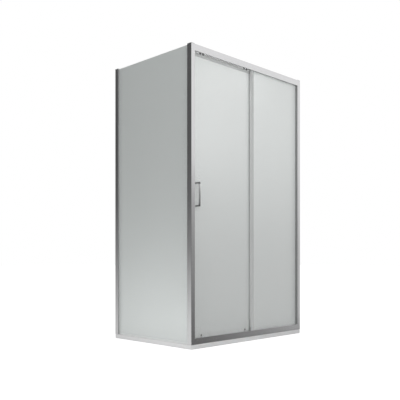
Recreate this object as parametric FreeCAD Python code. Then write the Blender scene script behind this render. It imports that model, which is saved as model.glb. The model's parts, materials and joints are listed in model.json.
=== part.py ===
"""Corner shower enclosure: a framed sliding door with a fixed panel, a fixed side panel and a slim tray.

Millimetres. +X runs along the front towards the right wall, +Y runs back to the rear wall, +Z is up.
The origin is the middle of the tray's underside.
"""
import FreeCAD
import Part
import math
import os

from FreeCAD import Vector

# Overall sizes
TRAY_WIDTH = 1200.0
TRAY_DEPTH = 800.0
TRAY_HEIGHT = 30.0
ENCLOSURE_HEIGHT = 1950.0

# Clearances
SNUG = 0.1
SLIP = 0.3
PIN_PLAY = 0.05
OVERRUN = 5.0

# Tray
TRAY_CORNER = 8.0
TRAY_EDGE = 3.0
RIM_MARGIN = 12.0
RIM_WALL = 40.0
BASIN_CORNER = 45.0
BASIN_DEPTH = 9.0
BASIN_SLOPE = 12.0
FLOOR_FALL = 4.5
FALL_MARGIN = 12.0
WASTE_INSET = 190.0
WASTE_RADIUS = 45.0
WASTE_SEAT_RADIUS = 57.0
WASTE_SEAT_DEPTH = 4.0

# Glass and glazing
GLASS = 6.0
GASKET = 3.4
GASKET_LIP = 1.2
COVER_MARGIN = 2.5
COVER_TIP = 0.8
FIXED_RECESS = 20.0
SIDE_RECESS = 14.0
PANEL_GAP = 11.0
POCKET_DEPTH = 14.0
GLASS_BITE = 12.0
SIDE_EDGE_GAP = 2.0
SIDE_SEAL_HEIGHT = 6.0
SIDE_SEAL_LEG = 5.0
SIDE_SEAL_WALL = 1.6
SETTING_BLOCK_LENGTH = 60.0
SETTING_BLOCK_HEIGHT = 3.0
SETTING_BLOCK_INSET = 110.0

# Posts and wall channels
WALL = 1.8
EDGE_ROUND = 0.9
POST_WIDTH = 32.0
CORNER_DEPTH = 26.0
CORNER_ROUND = 2.5
WING_RETURN = 8.0
SIDE_FACE = 13.0
STRIKE_REACH = 4.0
STRIKE_WIDTH = 14.0
CAP_THICKNESS = 2.5
CAP_PLUG = 8.0
CAP_ROUND = 1.0
CHANNEL_WEB = 2.0
CHANNEL_FLANGE = 14.0
ADJUST_GAP = 1.0
WALL_HOLE_RADIUS = 3.0
OUTER_HOLE_INSET = 120.0
INNER_HOLE_INSET = 680.0

# Rails
RAIL_HEIGHT = 43.0
FASCIA_LIP = 6.0
RAIL_POCKET_LIFT = 12.0
RAIL_POCKET_DEPTH = 20.0
LEDGE_LIFT = 5.0
LEDGE_THICKNESS = 2.2
BEAD_WIDTH = 2.4
BEAD_HEIGHT = 4.4
TRACK_ROOM = 3.2
SILL_HEIGHT = 43.0
SILL_CROWN = 1.5
SILL_POCKET_FLOOR = 22.0
SILL_LIP_DROP = 4.0
SILL_HIGH = 18.0
SILL_LOW = 12.0
SILL_TRACK_HEIGHT = 30.0
END_BLOCK_LENGTH = 26.0
RAIL_SCREW_INSET = 12.0

# Screws
SCREW_RADIUS = 1.9
SCREW_LENGTH = 16.0
SCREW_HEAD_RADIUS = 3.4
SCREW_HEAD_HEIGHT = 2.0
RECESS_LENGTH = 3.4
RECESS_WIDTH = 0.8
RECESS_DEPTH = 1.1
SHORT_SCREW_LENGTH = 6.0
SCREW_END_INSET = 110.0
SCREW_ROWS = 3

# Interlock stile of the fixed panel
INTERLOCK_WIDTH = 25.0
INTERLOCK_BACK_GAP = 6.0
INTERLOCK_OVERLAP = 35.0
INTERLOCK_POCKET = 16.0
FOOT_HEIGHT = 22.0
FOOT_PROUD = 1.0
FIN_THICKNESS = 1.4
FIN_BASE = 6.0
FIN_CLEAR = 18.0

# Door panel and its seals
DOOR_OVERLAP = 57.3
DOOR_OPEN_MARGIN = 19.2
DOOR_BOTTOM_LIFT = 30.0
DOOR_TOP_DROP = 1.0
JAMB_SEAL_REACH = 7.5
JAMB_SEAL_NOSE = 7.0
MAGNET_GAP = 0.5
MAGNET_THICKNESS = 2.2
MAGNET_WIDTH = 5.4
DOOR_SEAL_NOSE = 5.6
SEAL_WALL = 1.2
SEAL_LEG = 11.0
WIPER_DROP = 13.0
WIPER_LEG = 5.0
WIPER_BLADE = 2.0
TRAIL_FIN_INSET = 8.0
TRAIL_FIN_GAP = 0.6

# Door hanger and roller carriages
HANGER_WALL = 2.0
HANGER_GASKET = 1.0
HANGER_DROP = 18.0
HANGER_LIFT = 14.0
HANGER_END_CAP = 2.5
HANGER_END_PLUG = 8.0
ROLLER_INSET = 82.0
CARRIAGE_LENGTH = 76.0
CARRIAGE_PLATE = 2.5
CARRIAGE_DROP = 2.0
CARRIAGE_LIFT = 33.0
CARRIAGE_ROUND = 9.0
ANTI_LIFT_GAP = 0.6
ANTI_LIFT_THICKNESS = 2.4
ANTI_LIFT_WIDTH = 22.0
ANTI_LIFT_REACH = 8.0
CARRIAGE_BOLT_LIFT = 6.5
CARRIAGE_BOLT_SPREAD = 14.0
CARRIAGE_BOLT_RADIUS = 2.5
CARRIAGE_BOLT_HEAD_RADIUS = 7.0
CARRIAGE_BOLT_HEAD = 1.9
SOCKET_RADIUS = 3.0
SOCKET_DEPTH = 1.2
WHEEL_SPREAD = 24.0
WHEEL_WIDTH = 8.0
WHEEL_SIDE_GAP = 1.0
WHEEL_FLANGE_RADIUS = 12.5
WHEEL_GROOVE_RADIUS = 10.0
WHEEL_GROOVE_WIDTH = 3.4
WHEEL_RIM = 1.2
WHEEL_DISH = 1.2
WHEEL_HUB_RADIUS = 5.5
WHEEL_RIM_RADIUS = 8.4
AXLE_RADIUS = 3.0
AXLE_SHOULDER_RADIUS = 4.6
AXLE_HEAD_RADIUS = 5.0
AXLE_HEAD = 1.5
STOP_LENGTH = 20.0
STOP_HEIGHT = 17.0
STOP_GAP = 0.5
STOP_SIDE_GAP = 0.7

# Handles
HANDLE_INSET = 29.0
HANDLE_CENTRE_HEIGHT = 1007.0
HANDLE_SPAN = 150.0
HANDLE_BAR = 10.0
HANDLE_REACH = 43.0
HANDLE_ROUND = 1.2
HANDLE_BOW = 3.0
HANDLE_BOLT_RADIUS = 2.5
HANDLE_BOLT_BITE = 14.0
BUSH_FLANGE_RADIUS = 8.0
BUSH_FLANGE = 1.5
BUSH_SPIGOT = 2.8
GLASS_HOLE_RADIUS = 6.5

# Lower guides with quick release
GUIDE_FLANGE_RADIUS = 9.5
GUIDE_GROOVE_RADIUS = 7.5
GUIDE_AXLE_RADIUS = 2.5
GUIDE_AXLE_HEAD_RADIUS = 4.2
GUIDE_CAP_LIFT = 50.0
GUIDE_CAP_RADIUS = 6.5
GUIDE_CAP_THICKNESS = 3.2
GUIDE_CAP_DOME = 1.0
GUIDE_BOLT_RADIUS = 3.0
GUIDE_PAD = 0.5
GUIDE_BASE_WIDTH = 28.0
GUIDE_BASE_THICKNESS = 3.0
GUIDE_BASE_LOW = 36.0
GUIDE_BASE_HIGH = 98.0
GUIDE_BASE_ROUND = 5.0
BARREL_WIDTH = 18.0
BARREL_LOW = 68.0
BARREL_ROOF = 2.0
BARREL_BACK_WALL = 2.4
BARREL_ROUND = 4.0
PISTON_RADIUS = 4.0
PISTON_BITE = 4.0
ROD_RADIUS = 1.6
KNOB_RADIUS = 6.0
KNOB_HEIGHT = 7.0
KNOB_ROUND = 1.5
KNOB_FLUTES = 12
FLUTE_RADIUS = 0.9
RELEASE_TRAVEL = 7.0
RELEASE_ROOM = 3.0
FORK_WIDTH = 14.0
FORK_THICKNESS = 2.4
FORK_DROP = 6.0
BRIDGE_THICKNESS = 6.0
SPRING_WIRE_RADIUS = 0.5
SPRING_RADIUS = 3.0
SPRING_TURNS = 6

SCREW_CROWN_SHARE = 0.6
BOLT_CROWN_SHARE = 0.8
FULL_TURN = 360.0
HEXAGON = 6
LINE_TOLERANCE = 1e-6
X_AXIS = Vector(1, 0, 0)
Y_AXIS = Vector(0, 1, 0)
Z_AXIS = Vector(0, 0, 1)

# Faces of the footprint and levels
left = -TRAY_WIDTH / 2
right = TRAY_WIDTH / 2
front = -TRAY_DEPTH / 2
back = TRAY_DEPTH / 2
tray_top = TRAY_HEIGHT
cap_top = TRAY_HEIGHT + ENCLOSURE_HEIGHT
frame_top = cap_top - CAP_THICKNESS
rail_bottom = frame_top - RAIL_HEIGHT
sill_top = tray_top + SILL_HEIGHT

# Planes from front to back through the sliding front
fixed_front = front + FIXED_RECESS
fixed_back = fixed_front + GLASS
pocket_front = fixed_front - GASKET
pocket_back = fixed_back + GASKET
pocket_rear_wall = pocket_back + WALL
door_front = fixed_back + PANEL_GAP
door_back = door_front + GLASS
door_middle = door_front + GLASS / 2
hanger_front = door_front - HANGER_GASKET - HANGER_WALL
hanger_back = door_back + HANGER_GASKET + HANGER_WALL
carriage_back = hanger_back + CARRIAGE_PLATE
wheel_front = carriage_back + WHEEL_SIDE_GAP
track_middle = wheel_front + WHEEL_WIDTH / 2
wheel_back = wheel_front + WHEEL_WIDTH
rail_inside_back = wheel_back + SLIP + AXLE_HEAD + TRACK_ROOM
rail_back = rail_inside_back + WALL

# Planes from left to right along the front
jamb = left + POST_WIDTH
post_outer = right - CHANNEL_WEB - ADJUST_GAP
post_inner = post_outer - POST_WIDTH
jamb_seal_tip = jamb + JAMB_SEAL_REACH
door_seal_tip = jamb_seal_tip + MAGNET_GAP
door_left = door_seal_tip + DOOR_SEAL_NOSE + SEAL_WALL
door_right = (jamb + post_inner) / 2 + DOOR_OVERLAP
door_travel = post_inner - DOOR_OPEN_MARGIN - door_right
interlock_left = door_right - INTERLOCK_OVERLAP
interlock_right = interlock_left + INTERLOCK_WIDTH
roller_places = (door_left + ROLLER_INSET, door_right - ROLLER_INSET)

# Planes of the side panel
side_glass_left = left + SIDE_RECESS
side_glass_right = side_glass_left + GLASS
side_pocket_left = side_glass_left - GASKET
side_pocket_right = side_glass_right + GASKET
side_front_face = front + CORNER_DEPTH + SIDE_FACE
side_glass_front = front + CORNER_DEPTH + SNUG + WALL + SIDE_EDGE_GAP
rear_outer = back - CHANNEL_WEB - ADJUST_GAP
rear_inner = rear_outer - POST_WIDTH
side_frame_right = left + POST_WIDTH

# Levels of the glass, the track and the wheels
lip_level = rail_bottom + FASCIA_LIP
rail_pocket_mouth = rail_bottom + RAIL_POCKET_LIFT
rail_pocket_roof = rail_pocket_mouth + RAIL_POCKET_DEPTH
sill_pocket_floor = tray_top + SILL_POCKET_FLOOR
fixed_bottom = sill_pocket_floor + SETTING_BLOCK_HEIGHT
fixed_top = rail_pocket_mouth + GLASS_BITE
fixed_left = interlock_right - GLASS_BITE
fixed_right = post_inner + GLASS_BITE
ledge_bottom = rail_bottom + LEDGE_LIFT
ledge_top = ledge_bottom + LEDGE_THICKNESS
bead_top = ledge_top + BEAD_HEIGHT
wheel_level = bead_top + SLIP + WHEEL_GROOVE_RADIUS
door_top = rail_bottom - DOOR_TOP_DROP
door_bottom = tray_top + DOOR_BOTTOM_LIFT
hanger_roof = door_top + HANGER_GASKET
hanger_top = rail_bottom + HANGER_LIFT
hanger_bottom = rail_bottom - HANGER_DROP
carriage_bolt_level = rail_bottom + CARRIAGE_BOLT_LIFT
sill_track_top = tray_top + SILL_TRACK_HEIGHT
guide_level = sill_track_top + SLIP + GUIDE_GROOVE_RADIUS
guide_cap_level = tray_top + GUIDE_CAP_LIFT
handle_place = door_left + HANDLE_INSET
handle_levels = (HANDLE_CENTRE_HEIGHT - HANDLE_SPAN / 2, HANDLE_CENTRE_HEIGHT + HANDLE_SPAN / 2)
seal_bottom = door_bottom + WIPER_LEG

# Planes and levels of the interlock stile
interlock_front = pocket_front - WALL
interlock_back = door_front - INTERLOCK_BACK_GAP
interlock_floor = interlock_right - INTERLOCK_POCKET
interlock_foot_top = sill_top + FOOT_HEIGHT
interlock_top = lip_level - SLIP

# Planes and levels of the lower guides
guide_base_front = door_back + GUIDE_PAD
guide_base_back = guide_base_front + GUIDE_BASE_THICKNESS
barrel_low = tray_top + BARREL_LOW
barrel_top = tray_top + GUIDE_BASE_HIGH
barrel_roof = barrel_top - BARREL_ROOF
barrel_back = track_middle + PISTON_RADIUS + SLIP + BARREL_BACK_WALL
piston_low = barrel_low - RELEASE_TRAVEL - RELEASE_ROOM
piston_top = barrel_low + PISTON_BITE
fork_front = guide_base_back + SLIP
fork_back = fork_front + FORK_THICKNESS


def spread(low, high, count):
    """Evenly spaced places from low to high."""
    return [low + (high - low) * step / (count - 1) for step in range(count)]


screw_levels = spread(tray_top + SCREW_END_INSET, frame_top - SCREW_END_INSET, SCREW_ROWS)
wall_hole_levels = (
    tray_top + OUTER_HOLE_INSET,
    tray_top + INNER_HOLE_INSET,
    frame_top - INNER_HOLE_INSET,
    frame_top - OUTER_HOLE_INSET,
)


# Shape helpers
def rectangle(low_u, high_u, low_v, high_v):
    """Corner points of an upright rectangle."""
    return [(low_u, low_v), (high_u, low_v), (high_u, high_v), (low_u, high_v)]


def outline_wire(outline, place):
    """A closed wire through (u, v) points; a point with two more numbers ends an arc through those."""
    edges = []
    for before, point in zip(outline[-1:] + outline[:-1], outline):
        start = place(*before[:2])
        end = place(*point[:2])
        if len(point) > 2:
            edges.append(Part.Arc(start, place(*point[2:]), end).toShape())
        else:
            edges.append(Part.LineSegment(start, end).toShape())
    return Part.Wire(edges)


def section_bar(outline, holes, place, sweep):
    """A bar swept straight from an outline with chambers."""
    wires = [outline_wire(each, place) for each in (outline, *holes)]
    return Part.makeFace(wires, "Part::FaceMakerBullseye").extrude(sweep)


def bar_x(outline, start, end, holes=()):
    """A bar along X from a (y, z) outline."""
    return section_bar(outline, holes, lambda y, z: Vector(start, y, z), X_AXIS * (end - start))


def bar_y(outline, start, end, holes=()):
    """A bar along Y from an (x, z) outline."""
    return section_bar(outline, holes, lambda x, z: Vector(x, start, z), Y_AXIS * (end - start))


def bar_z(outline, start, end, holes=()):
    """A bar along Z from an (x, y) outline."""
    return section_bar(outline, holes, lambda x, y: Vector(x, y, start), Z_AXIS * (end - start))


def block(low_x, high_x, low_y, high_y, low_z, high_z):
    """A plain rectangular piece between six planes."""
    return Part.makeBox(high_x - low_x, high_y - low_y, high_z - low_z, Vector(low_x, low_y, low_z))


def rod(radius, start, axis, length):
    """A round bar."""
    return Part.makeCylinder(radius, length, start, axis)


def turned(profile, place, axis):
    """A turned piece from (radius, distance along the axis) points."""
    points = [Vector(radius, 0, distance) for radius, distance in profile]
    solid = Part.Face(Part.makePolygon(points + points[:1])).revolve(Vector(), Z_AXIS, FULL_TURN)
    return stood(solid, place, axis)


def stood(shape, place, axis):
    """A piece drawn along Z at the origin, stood at a place along an axis."""
    shape.Placement = FreeCAD.Placement(place, FreeCAD.Rotation(Z_AXIS, axis))
    return shape


def ring_points(radius, count):
    """Evenly spaced points round the Z axis."""
    turns = [2 * math.pi * step / count for step in range(count)]
    return [Vector(radius * math.cos(turn), radius * math.sin(turn), 0) for turn in turns]


def edges_at(shape, point, direction):
    """Straight edges that lie on the line through a point."""
    found = []
    for edge in shape.Edges:
        if not isinstance(edge.Curve, Part.Line):
            continue
        offset = edge.Vertexes[0].Point - point
        parallel = edge.Curve.Direction.cross(direction).Length < LINE_TOLERANCE
        if parallel and offset.cross(direction).Length < LINE_TOLERANCE:
            found.append(edge)
    return found


def soften(shape, radius, points, direction):
    """Round the straight edges that lie on lines through the given points."""
    edges = [edge for point in points for edge in edges_at(shape, point, direction)]
    return shape.makeFillet(radius, edges)


def group(shapes):
    """Separate solids kept together as one piece of the list."""
    return Part.makeCompound(list(shapes))


def pan_screw(seat, axis, length):
    """A cross-head screw whose head sits on the seat and whose shank runs along the axis."""
    profile = [
        (0, -SCREW_HEAD_HEIGHT),
        (SCREW_HEAD_RADIUS * SCREW_CROWN_SHARE, -SCREW_HEAD_HEIGHT),
        (SCREW_HEAD_RADIUS, -SCREW_HEAD_HEIGHT / 2),
        (SCREW_HEAD_RADIUS, 0),
        (SCREW_RADIUS, 0),
        (SCREW_RADIUS, length - SCREW_RADIUS),
        (0, length),
    ]
    screw = turned(profile, seat, axis)
    floor = RECESS_DEPTH - SCREW_HEAD_HEIGHT
    long = RECESS_LENGTH / 2
    wide = RECESS_WIDTH / 2
    for reach_x, reach_y in ((long, wide), (wide, long)):
        slot = block(-reach_x, reach_x, -reach_y, reach_y, -OVERRUN, floor)
        screw = screw.cut(stood(slot, seat, axis))
    return screw


def screw_hole(seat, axis, length):
    """The clearance hole for a screw, through both faces."""
    return rod(SCREW_RADIUS + SNUG, seat - axis * OVERRUN, axis, length + OVERRUN)


# Tray
def rounded_rectangle(low_x, high_x, low_y, high_y, radius, level):
    """A rectangular wire with round corners."""
    half = radius - radius / math.sqrt(2)
    outline = [
        (high_x - radius, low_y),
        (high_x, low_y + radius, high_x - half, low_y + half),
        (high_x, high_y - radius),
        (high_x - radius, high_y, high_x - half, high_y - half),
        (low_x + radius, high_y),
        (low_x, high_y - radius, low_x + half, high_y - half),
        (low_x, low_y + radius),
        (low_x + radius, low_y, low_x + half, low_y + half),
    ]
    return outline_wire(outline, lambda x, y: Vector(x, y, level))


def shower_tray():
    """A cast slab with a sloped basin that falls to the waste."""
    slab = block(left, right, front, back, 0, tray_top)
    corners = [Vector(x, y, 0) for x in (left, right) for y in (front, back)]
    slab = soften(slab, TRAY_CORNER, corners, Z_AXIS)
    top_edges = [edge for edge in slab.Edges if edge.BoundBox.ZMin > tray_top - LINE_TOLERANCE]
    slab = slab.makeFillet(TRAY_EDGE, top_edges)
    basin = (jamb + RIM_MARGIN, right - RIM_WALL, rail_back + RIM_MARGIN, back - RIM_WALL)
    floor = (
        basin[0] + BASIN_SLOPE,
        basin[1] - BASIN_SLOPE,
        basin[2] + BASIN_SLOPE,
        basin[3] - BASIN_SLOPE,
    )
    floor_level = tray_top - BASIN_DEPTH
    fall_level = floor_level - FLOOR_FALL
    seat_level = fall_level - WASTE_SEAT_DEPTH
    waste = Vector(right - WASTE_INSET, (basin[2] + basin[3]) / 2, 0)
    reach = WASTE_SEAT_RADIUS + FALL_MARGIN
    ring = (waste.x - reach, waste.x + reach, waste.y - reach, waste.y + reach)
    rim_wire = rounded_rectangle(*basin, BASIN_CORNER, tray_top)
    floor_wire = rounded_rectangle(*floor, BASIN_CORNER - BASIN_SLOPE, floor_level)
    ring_wire = rounded_rectangle(*ring, BASIN_CORNER - BASIN_SLOPE, fall_level)
    tray = slab.cut(Part.makeLoft([rim_wire, floor_wire], True, True))
    tray = tray.cut(Part.makeLoft([floor_wire, ring_wire], True, True))
    seat = rod(WASTE_SEAT_RADIUS, waste + Z_AXIS * seat_level, Z_AXIS, BASIN_DEPTH + FLOOR_FALL)
    outlet = rod(WASTE_RADIUS, waste, Z_AXIS, tray_top)
    return tray.cut(seat).cut(outlet)


# Rails
def top_rail():
    """Head rail: hollow fascia, glazing pocket and a roller channel with a beaded ledge."""
    bead_left = track_middle - BEAD_WIDTH / 2
    bead_right = track_middle + BEAD_WIDTH / 2
    bead_shoulder = bead_top - BEAD_WIDTH / 2
    channel_roof = frame_top - WALL
    outline = [
        (front, rail_bottom),
        (front + WALL, rail_bottom),
        (front + WALL, lip_level),
        (pocket_front, lip_level),
        (pocket_front, rail_pocket_roof),
        (pocket_back, rail_pocket_roof),
        (pocket_back, rail_pocket_mouth),
        (pocket_rear_wall, rail_pocket_mouth),
        (pocket_rear_wall, channel_roof),
        (rail_inside_back, channel_roof),
        (rail_inside_back, ledge_top),
        (bead_right, ledge_top),
        (bead_right, bead_shoulder),
        (bead_left, bead_shoulder, track_middle, bead_top),
        (bead_left, ledge_bottom),
        (rail_inside_back, ledge_bottom),
        (rail_inside_back, rail_bottom),
        (rail_back, rail_bottom),
        (rail_back, frame_top),
        (front, frame_top),
    ]
    fascia = rectangle(front + WALL, pocket_front - WALL, lip_level + WALL, channel_roof)
    over_pocket = rectangle(pocket_front, pocket_back, rail_pocket_roof + WALL, channel_roof)
    rail = bar_x(outline, jamb, post_inner, (fascia, over_pocket))
    edges = [Vector(jamb, front, level) for level in (rail_bottom, frame_top)]
    return soften(rail, EDGE_ROUND, edges, X_AXIS)


def bottom_rail():
    """Sill rail: hollow front with a glazing pocket, a sloped drain and an upright guide track."""
    bead_left = track_middle - BEAD_WIDTH / 2
    bead_right = track_middle + BEAD_WIDTH / 2
    bead_shoulder = sill_track_top - BEAD_WIDTH / 2
    pocket_lip = sill_top - SILL_LIP_DROP
    drain_high = tray_top + SILL_HIGH
    drain_low = tray_top + SILL_LOW

    def drain(place):
        """Level of the sloped drain at a place between its front and back."""
        run = (place - pocket_rear_wall) / (rail_back - pocket_rear_wall)
        return drain_high + (drain_low - drain_high) * run

    outline = [
        (front, tray_top),
        (rail_back, tray_top),
        (rail_back, drain_low),
        (bead_right, drain(bead_right)),
        (bead_right, bead_shoulder),
        (bead_left, bead_shoulder, track_middle, sill_track_top),
        (bead_left, drain(bead_left)),
        (pocket_rear_wall, drain_high),
        (pocket_rear_wall, pocket_lip),
        (pocket_back, pocket_lip),
        (pocket_back, sill_pocket_floor),
        (pocket_front, sill_pocket_floor),
        (pocket_front, sill_top),
        (front, sill_top - SILL_CROWN),
    ]
    floor = tray_top + WALL
    chamber = [
        (front + WALL, floor),
        (pocket_front - WALL, floor),
        (pocket_front - WALL, sill_top - SILL_CROWN - WALL),
        (front + WALL, sill_top - SILL_CROWN - WALL),
    ]
    under_pocket = rectangle(pocket_front, pocket_back, floor, sill_pocket_floor - WALL)
    under_drain = [
        (pocket_rear_wall, floor),
        (rail_back - WALL, floor),
        (rail_back - WALL, drain(rail_back - WALL) - WALL),
        (pocket_rear_wall, drain_high - WALL),
    ]
    rail = bar_x(outline, jamb, post_inner, (chamber, under_pocket, under_drain))
    return soften(rail, EDGE_ROUND, [Vector(jamb, front, sill_top - SILL_CROWN)], X_AXIS)


def rail_end_blocks():
    """Moulded blocks in the hollow front of both rails, which the end screws grip."""
    low_y = front + WALL + SNUG
    high_y = pocket_front - WALL - SNUG
    heights = (
        (rail_bottom + FASCIA_LIP + WALL + SNUG, frame_top - WALL - SNUG),
        (tray_top + WALL + SNUG, sill_top - SILL_CROWN - WALL - SNUG),
    )
    blocks = []
    for low_z, high_z in heights:
        for start in (jamb, post_inner - END_BLOCK_LENGTH):
            piece = block(start, start + END_BLOCK_LENGTH, low_y, high_y, low_z, high_z)
            for level in rail_screw_levels(low_z, high_z):
                centre = Vector(start, (low_y + high_y) / 2, level)
                piece = piece.cut(screw_hole(centre, X_AXIS, END_BLOCK_LENGTH + OVERRUN))
            blocks.append(piece)
    return group(blocks)


def rail_screw_levels(low_z, high_z):
    """Levels of the two screws in one end of a rail."""
    middle = (low_z + high_z) / 2
    return (middle - RAIL_SCREW_INSET / 2, middle + RAIL_SCREW_INSET / 2)


def rail_screw_seats():
    """Each rail end screw as its seat inside the post and its direction."""
    centre_y = (front + pocket_front) / 2
    spans = (
        (rail_bottom + FASCIA_LIP + WALL, frame_top - WALL),
        (tray_top + WALL, sill_top - SILL_CROWN - WALL),
    )
    seats = []
    for span in spans:
        for level in rail_screw_levels(*span):
            seats.append((Vector(jamb - WALL, centre_y, level), X_AXIS))
            seats.append((Vector(post_inner + WALL, centre_y, level), -X_AXIS))
    return seats


def rail_screws():
    """Self-tapping screws that hold the rails' ends to the posts."""
    return group(pan_screw(seat, axis, SCREW_LENGTH) for seat, axis in rail_screw_seats())


# Posts
def corner_post():
    """Closed corner section with a wing behind the side panel and strike lips for the jamb seal."""
    inner = jamb - WALL
    outline = [
        (left, front),
        (jamb, front),
        (jamb, rail_back),
        (jamb - WING_RETURN, rail_back),
        (jamb - WING_RETURN, rail_inside_back),
        (inner, rail_inside_back),
        (inner, front + CORNER_DEPTH),
        (left, front + CORNER_DEPTH),
    ]
    hollow = rectangle(left + WALL, inner, front + WALL, front + CORNER_DEPTH - WALL)
    post = bar_z(outline, tray_top, frame_top, (hollow,))
    post = soften(post, CORNER_ROUND, [Vector(left, front, tray_top)], Z_AXIS)
    for low_y in (door_middle - STRIKE_WIDTH / 2, door_middle + STRIKE_WIDTH / 2 - WALL):
        lip = block(jamb, jamb + STRIKE_REACH, low_y, low_y + WALL, sill_top, rail_bottom)
        post = post.fuse(lip)
    for seat, axis in rail_screw_seats():
        post = post.cut(screw_hole(seat, axis, WALL + OVERRUN))
    for seat in corner_screw_seats():
        post = post.cut(screw_hole(seat, -X_AXIS, WALL + OVERRUN / 2))
    return post.removeSplitter()


def glazed_post_outline(glazing_front, glazing_back, width):
    """A post section seen along its length: face at u 0, wall side at u POST_WIDTH, v across it."""
    cavity = POCKET_DEPTH + WALL
    return [
        (0, 0),
        (0, glazing_front),
        (POCKET_DEPTH, glazing_front),
        (POCKET_DEPTH, glazing_back),
        (0, glazing_back),
        (0, width),
        (POST_WIDTH, width),
        (POST_WIDTH, width - WALL),
        (cavity, width - WALL),
        (cavity, WALL),
        (POST_WIDTH, WALL),
        (POST_WIDTH, 0),
    ]


def glazed_post_chambers(glazing_front, glazing_back, width):
    """The two closed chambers beside the glazing pocket."""
    return (
        rectangle(WALL, POCKET_DEPTH, WALL, glazing_front - WALL),
        rectangle(WALL, POCKET_DEPTH, glazing_back + WALL, width - WALL),
    )


def right_post():
    """Wall post of the front: glazing pocket towards the fixed glass, open towards the wall channel."""
    width = rail_back - front
    glazing = (pocket_front - front, pocket_back - front)
    outline = [(post_inner + u, front + v) for u, v in glazed_post_outline(*glazing, width)]
    chambers = [
        [(post_inner + u, front + v) for u, v in chamber]
        for chamber in glazed_post_chambers(*glazing, width)
    ]
    post = bar_z(outline, tray_top, frame_top, chambers)
    post = soften(post, EDGE_ROUND, [Vector(post_inner, front, tray_top)], Z_AXIS)
    for seat, axis in rail_screw_seats():
        post = post.cut(screw_hole(seat, axis, WALL + OVERRUN))
    for seat in right_screw_seats():
        post = post.cut(screw_hole(seat, -Y_AXIS, WALL + OVERRUN / 2))
    return post


def side_rear_profile():
    """Wall post of the side panel, the same section turned towards the back wall."""
    glazing = (side_pocket_left - left, side_pocket_right - left)
    outline = [(left + v, rear_inner + u) for u, v in glazed_post_outline(*glazing, POST_WIDTH)]
    chambers = [
        [(left + v, rear_inner + u) for u, v in chamber]
        for chamber in glazed_post_chambers(*glazing, POST_WIDTH)
    ]
    post = bar_z(outline, tray_top, frame_top, chambers)
    post = soften(post, EDGE_ROUND, [Vector(left, rear_inner, tray_top)], Z_AXIS)
    for seat in rear_screw_seats():
        post = post.cut(screw_hole(seat, -X_AXIS, WALL + OVERRUN / 2))
    return post


def side_front_profile():
    """Glazing profile of the side panel, screwed to the wing of the corner post."""
    low_y = front + CORNER_DEPTH + SNUG
    high_x = jamb - WALL - SNUG
    floor = low_y + WALL
    outline = [
        (left, low_y),
        (high_x, low_y),
        (high_x, side_front_face),
        (side_pocket_right, side_front_face),
        (side_pocket_right, floor),
        (side_pocket_left, floor),
        (side_pocket_left, side_front_face),
        (left, side_front_face),
    ]
    chambers = (
        rectangle(left + WALL, side_pocket_left - WALL, low_y + WALL, side_front_face - WALL),
        rectangle(side_pocket_right + WALL, high_x - WALL, low_y + WALL, side_front_face - WALL),
    )
    profile = bar_z(outline, tray_top, frame_top, chambers)
    profile = soften(profile, EDGE_ROUND, [Vector(left, side_front_face, tray_top)], Z_AXIS)
    for seat in corner_screw_seats():
        profile = profile.cut(screw_hole(seat, -X_AXIS, WALL + WALL + OVERRUN))
    return profile


def wall_channel(outer_low, outer_high):
    """Channel section on a wall: web at u 0 to CHANNEL_WEB, flanges away from the wall, v across it."""
    reach = CHANNEL_WEB + CHANNEL_FLANGE
    return [
        (0, outer_low),
        (0, outer_high),
        (reach, outer_high),
        (reach, outer_high - WALL),
        (CHANNEL_WEB, outer_high - WALL),
        (CHANNEL_WEB, outer_low + WALL),
        (reach, outer_low + WALL),
        (reach, outer_low),
    ]


def right_wall_channel():
    """Channel screwed to the right wall; the right post slides over it."""
    section = wall_channel(front + WALL + SLIP, rail_back - WALL - SLIP)
    channel = bar_z([(right - u, v) for u, v in section], tray_top, frame_top)
    for level in wall_hole_levels:
        centre = Vector(right - CHANNEL_WEB - OVERRUN, (front + rail_back) / 2, level)
        channel = channel.cut(rod(WALL_HOLE_RADIUS, centre, X_AXIS, CHANNEL_WEB + OVERRUN * 2))
    for seat in right_screw_seats():
        channel = channel.cut(screw_hole(seat, -Y_AXIS, SHORT_SCREW_LENGTH + OVERRUN))
    return channel


def back_wall_channel():
    """Channel screwed to the back wall; the side panel's rear profile slides over it."""
    section = wall_channel(left + WALL + SLIP, side_frame_right - WALL - SLIP)
    channel = bar_z([(v, back - u) for u, v in section], tray_top, frame_top)
    for level in wall_hole_levels:
        centre = Vector((left + side_frame_right) / 2, back - CHANNEL_WEB - OVERRUN, level)
        channel = channel.cut(rod(WALL_HOLE_RADIUS, centre, Y_AXIS, CHANNEL_WEB + OVERRUN * 2))
    for seat in rear_screw_seats():
        channel = channel.cut(screw_hole(seat, -X_AXIS, SHORT_SCREW_LENGTH + OVERRUN))
    return channel


def corner_screw_seats():
    """Seats of the screws that join the side panel to the corner post's wing."""
    place_y = front + CORNER_DEPTH + SCREW_HEAD_RADIUS
    return [Vector(jamb, place_y, level) for level in screw_levels]


def right_screw_seats():
    """Seats of the screws that lock the right post on its channel."""
    place_x = right - CHANNEL_WEB - CHANNEL_FLANGE / 2
    return [Vector(place_x, rail_back, level) for level in screw_levels]


def rear_screw_seats():
    """Seats of the screws that lock the side panel on its channel."""
    place_y = back - CHANNEL_WEB - CHANNEL_FLANGE / 2
    return [Vector(side_frame_right, place_y, level) for level in screw_levels]


def short_screws(seats, axis):
    """Short pan-head screws for joined profiles."""
    return group(pan_screw(seat, axis, SHORT_SCREW_LENGTH) for seat in seats)


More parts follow.
